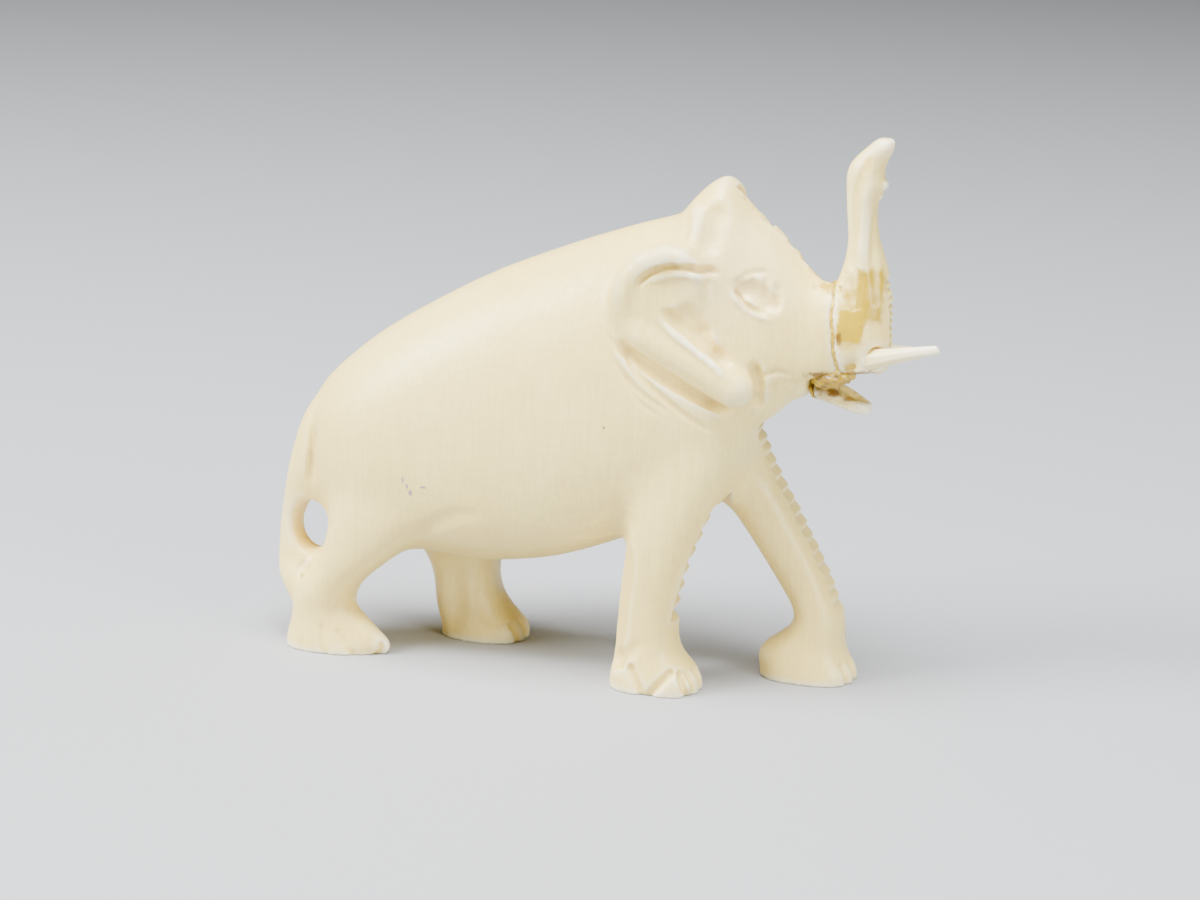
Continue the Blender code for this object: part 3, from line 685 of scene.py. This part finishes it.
def smear_effect():
    """A ragged smear, round or square, about a place in mm: 1 in its middle, 0 past its reach."""
    tree, given, made = effect(
        "smear",
        [("Middle", "NodeSocketVector", (0, 0, 0)), ("Reach", "NodeSocketVector", (1, 1, 1)),
         ("Ragged", "NodeSocketFloat", 0.5), ("Softness", "NodeSocketFloat", 0.35),
         ("Square", "NodeSocketFloat", 0.0)],
        [("Mask", "NodeSocketFloat")],
    )
    place = in_millimetres(tree)
    middle, reach, square = [given.outputs[label] for label in ("Middle", "Reach", "Square")]
    share = node(tree, "ShaderNodeVectorMath", {0: place, 1: middle}, operation="SUBTRACT").outputs[0]
    share = node(tree, "ShaderNodeVectorMath", {0: share, 1: reach}, operation="DIVIDE").outputs[0]
    ball = node(tree, "ShaderNodeVectorMath", {0: share}, operation="LENGTH").outputs["Value"]
    sides = node(tree, "ShaderNodeVectorMath", {0: share}, operation="ABSOLUTE").outputs[0]
    sides = node(tree, "ShaderNodeSeparateXYZ", {0: sides}).outputs
    box = sum_of(tree, sum_of(tree, sides["X"], sides["Z"], "MAXIMUM"), sides["Y"], "MAXIMUM")
    far = node(tree, "ShaderNodeMix", {0: square, 2: ball, 3: box}).outputs[0]
    noise = sum_of(tree, noise_of(tree, place, 1.1, 3.0, 0.6), 0.5, "SUBTRACT")
    rough = sum_of(tree, noise, given.outputs["Ragged"], "MULTIPLY")
    edge = sum_of(tree, far, sum_of(tree, rough, 2.0, "MULTIPLY"))
    inner = sum_of(tree, 1.0, given.outputs["Softness"], "SUBTRACT")
    tree.links.new(ranged(tree, edge, 1.0, inner), made.inputs["Mask"])
    return tree


def hollow_effect():
    """Where the carving is hollow, for painted shade and grime there, and where it has a worn edge, from
    the marks on the skin.
    """
    tree, given, made = effect(
        "hollows_and_edges",
        [("Shade And Grime", "NodeSocketFloat", 1.0), ("Wear", "NodeSocketFloat", 1.0)],
        [("Hollow", "NodeSocketFloat"), ("Edge", "NodeSocketFloat")],
    )
    fine = node(tree, "ShaderNodeAttribute", attribute_name="fine_hollow").outputs["Fac"]
    broad = node(tree, "ShaderNodeAttribute", attribute_name="broad_hollow").outputs["Fac"]
    patchy = ranged(tree, noise_of(tree, in_millimetres(tree), 0.5, 3.0), 0.35, 0.65, 0.35, 1.0)
    hollow = sum_of(tree, ranged(tree, fine, 0.10, 0.60), ranged(tree, broad, 0.05, 0.40, 0.0, 0.6))
    hollow = sum_of(tree, sum_of(tree, hollow, patchy, "MULTIPLY"), given.outputs["Shade And Grime"], "MULTIPLY")
    edge = sum_of(tree, ranged(tree, fine, -0.10, -0.45), given.outputs["Wear"], "MULTIPLY")
    tree.links.new(hollow, made.inputs["Hollow"])
    tree.links.new(edge, made.inputs["Edge"])
    return tree


ivory_figure, smear, hollows = figure_effect(), smear_effect(), hollow_effect()

CREAM = (0.95, 0.77, 0.27, 1)
WARM_CREAM = (0.90, 0.67, 0.16, 1)
GRAIN_TONE = (0.68, 0.50, 0.17, 1)
PORE_BROWN = (0.08, 0.06, 0.02, 1)
# A tan for painted shade in hollows and creases, and for grime.
TAN_SHADE_AND_GRIME = (0.52, 0.36, 0.08, 1)
WORN_WHITE = (0.94, 0.88, 0.62, 1)


def grouped(tree, effect_tree, inputs=()):
    """The outputs of a shared effect used in a material's tree."""
    made = node(tree, "ShaderNodeGroup", node_tree=effect_tree)
    for label, value in dict(inputs).items():
        made.inputs[label].default_value = value
    return made.outputs


def ivory_material(name, smears, hollow_shade_and_grime=0.55, roughness=0.36):
    """Polished ivory with glue, ink, tone and painted shade smeared on it, and tan painted shade with some
    grime in its hollows.

    Each smear is its middle and reach in mm, colour, strength, how ragged and soft its edge is,
    and whether it is square (1) or round (0).
    """
    material = bpy.data.materials.new(name)
    material.use_nodes = True
    tree = material.node_tree
    shader = tree.nodes["Principled BSDF"]
    figure = grouped(tree, ivory_figure)
    marks = grouped(tree, hollows, {"Shade And Grime": hollow_shade_and_grime})
    colour = blend_of(tree, sum_of(tree, figure["Cloud"], 0.45, "MULTIPLY"), CREAM, WARM_CREAM)
    colour = blend_of(tree, sum_of(tree, figure["Streak"], 0.28, "MULTIPLY"), colour, GRAIN_TONE)
    colour = blend_of(tree, marks["Edge"], colour, WORN_WHITE)
    # Painted shade, with some grime, darkens the hollows of the carving in tan.
    colour = blend_of(tree, sum_of(tree, marks["Hollow"], 0.55, "MULTIPLY"), colour, TAN_SHADE_AND_GRIME)
    gloss = ranged(tree, figure["Relief"], 0.4, 1.1, roughness - 0.05, roughness + 0.12)
    for middle, reach, stain, strength, ragged, soft, square in smears:
        given = {"Middle": middle, "Reach": reach, "Ragged": ragged, "Softness": soft, "Square": square}
        mask = grouped(tree, smear, given)["Mask"]
        streaky = ranged(tree, figure["Streak"], 0.0, 1.2, strength * 1.1, strength * 0.88)
        colour = blend_of(tree, sum_of(tree, mask, streaky, "MULTIPLY"), colour, stain)
        gloss = sum_of(tree, gloss, sum_of(tree, mask, 0.06 * square, "MULTIPLY"), "SUBTRACT")
    colour = blend_of(tree, figure["Pore"], colour, PORE_BROWN)
    bump = node(tree, "ShaderNodeBump", {"Height": figure["Relief"], "Strength": 0.55, "Distance": 0.0001})
    tree.links.new(colour, shader.inputs["Base Color"])
    tree.links.new(gloss, shader.inputs["Roughness"])
    tree.links.new(bump.outputs["Normal"], shader.inputs["Normal"])
    shader.inputs["Subsurface Weight"].default_value = 0.2
    shader.inputs["Subsurface Radius"].default_value = (1.0, 0.8, 0.45)
    shader.inputs["Subsurface Scale"].default_value = 0.0008
    shader.inputs["IOR"].default_value = 1.54
    return material


HONEY = (0.50, 0.33, 0.002, 1)
STAIN = (0.30, 0.17, 0.004, 1)
BROWN_GLUE = (0.17, 0.075, 0.002, 1)
# A darker ivory painted over the lower body as painted shade.
BELLY_PAINTED_SHADE = (0.62, 0.46, 0.14, 1)
RUMP_BUFF = (0.88, 0.72, 0.26, 1)
HEAD_PINK = (0.88, 0.72, 0.44, 1)
INK = (0.16, 0.10, 0.26, 1)
BODY_SMEARS = (
    ((-26.0, -7.0, 37.0), (18.0, 12.0, 12.0), RUMP_BUFF, 0.4, 0.3, 0.7, 0),
    # Painted shade: the lower body and belly darker towards the bottom.
    ((-11.0, -7.0, 11.5), (24.0, 14.0, 8.5), BELLY_PAINTED_SHADE, 0.6, 0.1, 0.9, 0),
    # Painted shade about the lower lid of the right eye.
    ((17.4, -7.0, 45.4), (1.5, 3.0, 0.8), TAN_SHADE_AND_GRIME, 0.4, 1.2, 0.6, 0),
    ((16.0, -6.0, 50.0), (9.0, 9.0, 9.0), HEAD_PINK, 0.4, 0.4, 0.7, 0),
    ((9.5, -9.0, 49.3), (3.6, 3.0, 0.35), HONEY, 0.45, 0.6, 0.6, 0),
    # Painted shadow in the hollow of the right ear above its lobe.
    ((13.2, -8.0, 43.0), (2.0, 3.0, 1.2), TAN_SHADE_AND_GRIME, 0.3, 0.8, 0.7, 0),
    # Painted shade along the groove beside the tail.
    ((-34.2, -6.0, 22.5), (0.35, 2.5, 5.0), TAN_SHADE_AND_GRIME, 0.5, 0.5, 0.8, 0),
    ((-35.0, -6.0, 9.6), (1.4, 2.5, 1.0), TAN_SHADE_AND_GRIME, 0.5, 1.4, 0.7, 0),
    ((-34.8, -6.0, 8.3), (0.4, 2.5, 0.4), BROWN_GLUE, 0.5, 1.2, 0.5, 0),
    ((-20.9, -10.8, 22.3), (0.22, 2.5, 0.55), INK, 0.8, 0.4, 0.6, 0),
    ((-20.4, -10.8, 21.6), (0.2, 2.5, 0.45), INK, 0.75, 0.4, 0.6, 0),
    ((-20.0, -10.8, 20.9), (0.28, 2.5, 0.45), INK, 0.9, 0.4, 0.6, 0),
    ((-18.4, -10.8, 21.7), (0.6, 2.5, 0.18), INK, 0.75, 0.4, 0.6, 0),
    ((26.4, -2.0, 47.6), (2.2, 5.0, 1.0), HONEY, 0.85, 0.9, 0.4, 0),
    ((25.8, -1.5, 47.9), (1.3, 3.5, 0.35), BROWN_GLUE, 0.6, 1.6, 0.5, 0),
    ((27.2, -3.0, 43.8), (0.9, 5.0, 4.4), HONEY, 0.6, 0.6, 0.6, 0),
    ((27.2, -4.0, 42.2), (0.35, 3.0, 0.6), BROWN_GLUE, 0.95, 0.6, 0.5, 0),
    ((26.2, -2.5, 37.7), (2.2, 5.0, 0.8), STAIN, 0.95, 0.7, 0.5, 0),
    ((25.6, -2.5, 37.9), (1.6, 4.0, 0.35), BROWN_GLUE, 0.6, 1.4, 0.6, 0),
)
body_piece.data.materials.append(ivory_material("carved_ivory", BODY_SMEARS))
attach(body_piece, "root")
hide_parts("body")

# --------------------------------------------------
# The trunk piece: the front of the muzzle with the raised trunk, in front of the break. It
# is fluted along its sides, nicked down its front, and has two small bumps below the tip.

TRUNK_CELL = 0.12
TRUNK_SOFTNESS = 0.28
TRUNK_FACES = 60000


def block_around(name, room, cell):
    """A block around a CAD node with some room, in mm."""
    first, last = [np.array(corner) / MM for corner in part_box(name)]
    return Block(first - room, last + room, cell)


trunk = block_around("trunk", 2.0, TRUNK_CELL)
spots = np.stack(np.broadcast_arrays(*trunk.places()), axis=-1).reshape(-1, 3)
trunk.field = body.read(rough, spots).reshape(trunk.size).astype(np.float32)
trunk.field = trunk.blurred(TRUNK_SOFTNESS)
whole_muzzle = trunk.field.copy()

# Shallow flutes on each side, as path, radius and depth, with a ridge left between them.
FLUTES = (
    (((29.6, 61.6), (28.6, 58.0), (28.7, 54.0), (28.4, 50.2)), 0.9, 0.18),
    (((30.3, 57.0), (30.2, 53.6), (30.8, 50.0), (31.4, 46.4)), 0.8, 0.16),
    (((27.6, 49.0), (28.8, 47.2), (29.6, 44.4)), 1.2, 0.22),
)
FLUTE_RIDGE = ((29.3, 60.0), (29.2, 56.4), (29.4, 52.8), (29.6, 49.6))
for side in (RIGHT, LEFT):
    for points, radius, depth in FLUTES:
        trunk.gouge(trunk.on_skin(points, side), radius, depth, soft=0.5, run_out=0.35)
    trunk.bead(trunk.on_skin(FLUTE_RIDGE, side), 0.7, 0.12, soft=0.5)

# Two bumps below the tip: height up the trunk, radius, and how proud each stands.
BUMPS = ((58.8, 0.55, 0.4), (57.5, 0.5, 0.25))
for height, radius, proud in BUMPS:
    bump = trunk.skin_at([(FAR_OUTSIDE, y, height) for y in (-0.9, -0.3, 0.3, 0.9)], 0, -1)
    trunk.bead(bump, radius, proud, soft=0.35)

NICK_HEIGHTS = np.arange(40.4, 50.4, 0.85)
nicks = lines_down_front(trunk, (-3.4, 3.4), NICK_HEIGHTS, lift=0.1, wrap=0.8)
cut_row(trunk, nicks, depth=0.56, breadth=1.0, wobble=0.25, seed=11)

# Two thin skins of glue lie on its right side, with edges like dried paint: middle, half size.
GLUE_SKIN_THICKNESS = 0.04
GLUE_SKIN_END = -0.8
GLUE_SKINS = (((30.6, 47.0), (1.5, 3.15)), ((28.95, 43.5), (1.5, 1.9)))
x, y, z = trunk.places()
for middle, half in GLUE_SKINS:
    outside = np.maximum(np.abs(x - middle[0]) - half[0], np.abs(z - middle[1]) - half[1])
    outside = np.maximum(outside + lumps((x, y, z), 1.3, 0.08), y - GLUE_SKIN_END)
    skin = np.maximum(outside, trunk.field - GLUE_SKIN_THICKNESS)
    trunk.field = lower_of(trunk.field, skin, 0.03)

# The muzzle is pared away under the right tusk.
MUZZLE_PARING = ((27.0, -2.8, 37.6), (29.4, -2.9, 37.9), (33.4, -3.0, 39.0))
trunk.pare(MUZZLE_PARING, (0.1, -0.2, -1.0), 2.4, soft=0.4)

trunk.field = np.maximum(trunk.field, GLUE_FILM - break_distance(trunk.places()))
trunk_piece = trunk.skinned("elephant_trunk", TRUNK_FACES)
TRUNK_SMEARS = (
    ((28.2, -4.0, 44.6), (1.7, 4.0, 4.6), HONEY, 0.6, 0.7, 0.6, 0),
    ((30.6, -4.0, 47.0), (1.6, 3.4, 3.25), HONEY, 1.0, 0.2, 0.25, 1),
    ((28.95, -4.6, 43.5), (1.6, 3.4, 2.0), HONEY, 1.1, 0.24, 0.25, 1),
    ((27.9, -2.0, 47.2), (1.0, 5.0, 0.8), HONEY, 0.7, 0.9, 0.5, 0),
    ((27.6, -1.5, 47.6), (0.9, 3.5, 0.3), BROWN_GLUE, 0.5, 1.6, 0.5, 0),
    ((27.8, -4.0, 42.2), (0.4, 3.0, 0.8), BROWN_GLUE, 0.9, 0.7, 0.6, 0),
    ((29.3, -3.0, 38.0), (2.8, 5.0, 0.9), STAIN, 0.95, 0.7, 0.5, 0),
    ((30.2, -3.0, 38.3), (1.8, 4.0, 0.35), BROWN_GLUE, 0.5, 1.4, 0.6, 0),
    ((29.0, -3.5, 40.4), (1.5, 3.0, 2.2), HONEY, 0.35, 0.6, 0.6, 0),
)
trunk_piece.data.materials.append(ivory_material("trunk_ivory", TRUNK_SMEARS, hollow_shade_and_grime=0.4))
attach(trunk_piece, "root")
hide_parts("trunk")

# --------------------------------------------------
# The lower jaw: a small spoon of ivory, hollowed on top with a gouge and blunt at its end,
# glued back under the mouth.

JAW_CELL = 0.08
JAW_FACES = 24000
JAW_SOFTNESS = 0.14

jaw = block_around("lower_jaw", 1.2, JAW_CELL)
jaw.take_in("lower_jaw")
jaw.field = jaw.blurred(JAW_SOFTNESS)
spoon = jaw.skin_at([(x, 0, FAR_OUTSIDE) for x in np.linspace(25.2, 30.2, 8)], 2, -1)
jaw.gouge(spoon, 2.0, 0.55, soft=0.4)
JAW_FLAT = ((25.2, 35.2), (27.2, 34.6), (29.4, 33.9))
for side in (RIGHT, LEFT):
    jaw.gouge(jaw.on_skin(JAW_FLAT, side), 0.5, 0.15, soft=0.3)
jaw_piece = jaw.skinned("elephant_lower_jaw", JAW_FACES)
JAW_SMEARS = (
    ((28.6, -1.5, 35.0), (3.4, 3.5, 1.4), HONEY, 0.75, 0.6, 0.8, 0),
    ((26.0, -1.5, 35.7), (1.7, 4.0, 1.3), STAIN, 0.9, 0.7, 0.6, 0),
    ((27.0, -2.2, 35.5), (0.8, 2.0, 0.65), BROWN_GLUE, 0.95, 0.7, 0.5, 0),
    ((28.7, -2.2, 34.9), (0.9, 2.0, 0.35), BROWN_GLUE, 0.8, 1.0, 0.5, 0),
    ((29.6, -1.0, 35.0), (2.2, 3.0, 0.45), STAIN, 0.9, 0.7, 0.6, 0),
)
jaw_piece.data.materials.append(ivory_material("jaw_ivory", JAW_SMEARS, hollow_shade_and_grime=0.8))
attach(jaw_piece, "root")
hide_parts("lower_jaw")

# --------------------------------------------------
# The tusks: two tapering ivory pegs, pared along their length with a knife so that long
# flats show, and blunt at the tip. Each sits in a drilled socket of the trunk piece.

TUSK_CELL = 0.08
TUSK_FACES = 16000
TUSK_ROOT = 1.12
TUSK_TIP = 0.55
TUSK_FLATS = 7
ROOT_INSET = 2.6
TIP_INSET = 1.4
BLUNT_END = 1.2
BLUNT_SLOPE = 0.3
KNIFE_WAVE = 0.04


def pared_tusk(name, turn):
    """A peg along the middle of its CAD tusk, with long flats that taper, and a blunt end."""
    peg = block_around(name, 1.0, TUSK_CELL)
    peg.take_in(name)
    first, last = [np.array(corner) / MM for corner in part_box(name)]
    ends = []
    for x in (first[0] + ROOT_INSET, last[0] - TIP_INSET):
        layer = peg.field[int(round(x / TUSK_CELL)) - peg.low[0]]
        j, k = np.unravel_index(np.argmin(layer), layer.shape)
        ends.append(np.array([x, (j + peg.low[1]) * TUSK_CELL, (k + peg.low[2]) * TUSK_CELL]))
    root, tip = ends
    length = np.linalg.norm(tip - root)
    heading = (tip - root) / length
    x, y, z = peg.places()
    along = (x - root[0]) * heading[0] + (y - root[1]) * heading[1] + (z - root[2]) * heading[2]
    radius = TUSK_ROOT + (TUSK_TIP - TUSK_ROOT) * along / length
    pared = along - length - BLUNT_END + BLUNT_SLOPE * (z - tip[2])
    for flat in range(TUSK_FLATS):
        angle = 2 * pi * flat / TUSK_FLATS + turn
        out = np.array([0, cos(angle), sin(angle)])
        out = out - (out @ heading) * heading
        out = out / np.linalg.norm(out)
        side = (x - root[0]) * out[0] + (y - root[1]) * out[1] + (z - root[2]) * out[2]
        wavy = 0.97 + KNIFE_WAVE * np.sin(0.6 * along + 2.0 * flat)
        pared = -lower_of(-pared, radius * wavy - side, 0.1)
    peg.field = np.where(x < root[0], peg.field, pared).astype(np.float32)
    peg.field = peg.blurred(0.07)
    return peg


tusk_ivory = ivory_material("tusk_ivory", (), hollow_shade_and_grime=0.3, roughness=0.30)
for name, turn in (("tusk_right", 0.35), ("tusk_left", 0.8)):
    tusk_piece = pared_tusk(name, turn).skinned("elephant_" + name, TUSK_FACES)
    tusk_piece.data.materials.append(tusk_ivory)
    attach(tusk_piece, "root")
    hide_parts(name)

# --------------------------------------------------
# The glue. Amber glue fills the break, stands a little proud of it in places, and has run
# down into a brown lump in the mouth. The small glue rings of the tusks and jaw are the CAD's.

GLUE_CELL = 0.1
GLUE_FACES = 60000
ROOM_BEHIND, ROOM_AHEAD, ROOM_ABOVE = 1.5, 7.0, 3.0
BEAD_WIDTH = 0.15
BEAD_BITE = 0.4
LUMP_BITE = 0.3
LUMP_RADII = (0.7, 1.15, 1.1, 0.45)
MOUTH_LUMP = ((24.8, -2.4, 37.0), (25.8, -3.0, 37.2), (27.2, -3.2, 37.3), (29.0, -3.1, 37.8))


glue = block_around("trunk_glue", 1.5, GLUE_CELL)
glue.low = glue.low - np.array([int(ROOM_BEHIND / GLUE_CELL), 0, 0])
glue.size = glue.size + np.array([int(ROOM_AHEAD / GLUE_CELL), 0, int(ROOM_ABOVE / GLUE_CELL)])
spots = np.stack(np.broadcast_arrays(*glue.places()), axis=-1).reshape(-1, 3)
muzzle = trunk.read(whole_muzzle, spots).reshape(glue.size).astype(np.float32)
places = glue.places()
ahead = break_distance(places)
film = np.abs(ahead - GLUE_FILM / 2) - GLUE_FILM / 2

# The bead wanders beside the film, with a wavy width, and lies on the skin and just under it.
bead = np.abs(ahead - GLUE_FILM / 2 + lumps(places, 4.1, 0.15)) - BEAD_WIDTH - lumps(places, 1.7, 0.2)
bead = -lower_of(-bead, lumps(places, 2.1, 0.06) - muzzle, 0.15)
bead = np.maximum(bead, -muzzle - BEAD_BITE)

lump = bar_distance(places, np.array(MOUTH_LUMP), LUMP_RADII) + lumps(places, 1.5, 0.14)
lump = np.maximum(lump, -muzzle - LUMP_BITE)
glue.field = np.maximum(film, muzzle)
glue.field = lower_of(lower_of(glue.field, bead, 0.1), lump, 0.25).astype(np.float32)
glue_piece = glue.skinned("break_glue", GLUE_FACES)


PALE_AMBER = (0.64, 0.46, 0.03, 1)


def amber_material():
    """Old glue: honey where it is thin, brown in spots and in the mouth."""
    material = bpy.data.materials.new("amber_glue")
    material.use_nodes = True
    tree = material.node_tree
    shader = tree.nodes["Principled BSDF"]
    place = in_millimetres(tree)
    cloud = noise_of(tree, place, 0.45, 3.0)
    spots = noise_of(tree, place, 1.6, 4.0)
    colour = blend_of(tree, ranged(tree, cloud, 0.35, 0.65), PALE_AMBER, HONEY)
    in_mouth = {"Middle": (27.0, -1.0, 36.8), "Reach": (4.0, 6.0, 1.8), "Ragged": 0.5}
    mouth = grouped(tree, smear, in_mouth)["Mask"]
    colour = blend_of(tree, sum_of(tree, mouth, 0.8, "MULTIPLY"), colour, STAIN)
    colour = blend_of(tree, ranged(tree, spots, 0.50, 0.66, 0.0, 0.85), colour, BROWN_GLUE)
    bump = node(tree, "ShaderNodeBump", {"Height": cloud, "Strength": 0.4, "Distance": 0.0001})
    tree.links.new(colour, shader.inputs["Base Color"])
    tree.links.new(ranged(tree, spots, 0.3, 0.7, 0.16, 0.38), shader.inputs["Roughness"])
    tree.links.new(bump.outputs["Normal"], shader.inputs["Normal"])
    shader.inputs["Subsurface Weight"].default_value = 0.25
    shader.inputs["Subsurface Radius"].default_value = (1.0, 0.6, 0.2)
    shader.inputs["Subsurface Scale"].default_value = 0.0006
    shader.inputs["Coat Weight"].default_value = 0.3
    shader.inputs["Coat Roughness"].default_value = 0.15
    return material


amber_glue = amber_material()
glue_piece.data.materials.append(amber_glue)
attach(glue_piece, "root")
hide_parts("trunk_glue")

for name in ("jaw_glue", "tusk_right_glue", "tusk_left_glue"):
    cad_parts[name].data.materials.clear()
    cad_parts[name].data.materials.append(amber_glue)

# --------------------------------------------------
# The table, the lights and the camera. A plain pale surface, three broad soft lights, and
# a camera a little above the back, turned towards the head.

TABLE_REACH = 2
floor_mesh = bpy.data.meshes.new("table_top")
corners = [(-TABLE_REACH, -TABLE_REACH, 0), (TABLE_REACH, -TABLE_REACH, 0),
           (TABLE_REACH, TABLE_REACH, 0), (-TABLE_REACH, TABLE_REACH, 0)]
floor_mesh.from_pydata(corners, [], [(0, 1, 2, 3)])
table_top = bpy.data.objects.new("table_top", floor_mesh)
bpy.context.scene.collection.objects.link(table_top)
paper = bpy.data.materials.new("pale_paper")
paper.use_nodes = True
shader = paper.node_tree.nodes["Principled BSDF"]
fibre = noise_of(paper.node_tree, in_millimetres(paper.node_tree), 0.8, 3.0)
tone = blend_of(paper.node_tree, fibre, (0.35, 0.36, 0.38, 1), (0.37, 0.38, 0.40, 1))
paper.node_tree.links.new(tone, shader.inputs["Base Color"])
shader.inputs["Roughness"].default_value = 0.8
floor_mesh.materials.append(paper)


def soft_light(name, place, target, size, power):
    """A soft rectangular light, aimed at a place."""
    lamp = bpy.data.lights.new(name, "AREA")
    lamp.shape = "RECTANGLE"
    lamp.size, lamp.size_y = size
    lamp.energy = power
    obj = bpy.data.objects.new(name, lamp)
    obj.location = place
    obj.rotation_euler = (Vector(target) - Vector(place)).to_track_quat("-Z", "Y").to_euler()
    bpy.context.scene.collection.objects.link(obj)


FIGURE_MIDDLE = (0, 0, 0.03)
soft_light("top_light", (0.0, -0.12, 0.60), FIGURE_MIDDLE, (0.35, 0.35), 13.0)
soft_light("left_light", (-0.50, -0.35, 0.42), FIGURE_MIDDLE, (0.3, 0.3), 14.0)
soft_light("right_light", (0.60, -0.30, 0.25), FIGURE_MIDDLE, (0.25, 0.3), 5.0)

world = bpy.data.worlds.new("studio")
world.use_nodes = True
world.node_tree.nodes["Background"].inputs["Color"].default_value = (0.80, 0.82, 0.85, 1)
world.node_tree.nodes["Background"].inputs["Strength"].default_value = 0.12
bpy.context.scene.world = world

CAMERA_TARGET = Vector((-0.0009, 0.0, 0.0255))
CAMERA_DISTANCE = 0.383
CAMERA_TURN = radians(18.0)
CAMERA_RISE = radians(14.0)
CAMERA_ROLL = radians(1.7)
lens = bpy.data.cameras.new("camera")
lens.lens = 100.0
camera = bpy.data.objects.new("camera", lens)
back = Vector((sin(CAMERA_TURN) * cos(CAMERA_RISE), -cos(CAMERA_TURN) * cos(CAMERA_RISE), sin(CAMERA_RISE)))
level = Vector((cos(CAMERA_TURN), sin(CAMERA_TURN), 0))
above = back.cross(level)
right = cos(CAMERA_ROLL) * level + sin(CAMERA_ROLL) * above
up = cos(CAMERA_ROLL) * above - sin(CAMERA_ROLL) * level
turned = Matrix((right, up, back)).transposed().to_4x4()
camera.matrix_world = Matrix.Translation(CAMERA_TARGET + back * CAMERA_DISTANCE) @ turned
bpy.context.scene.collection.objects.link(camera)
bpy.context.scene.camera = camera
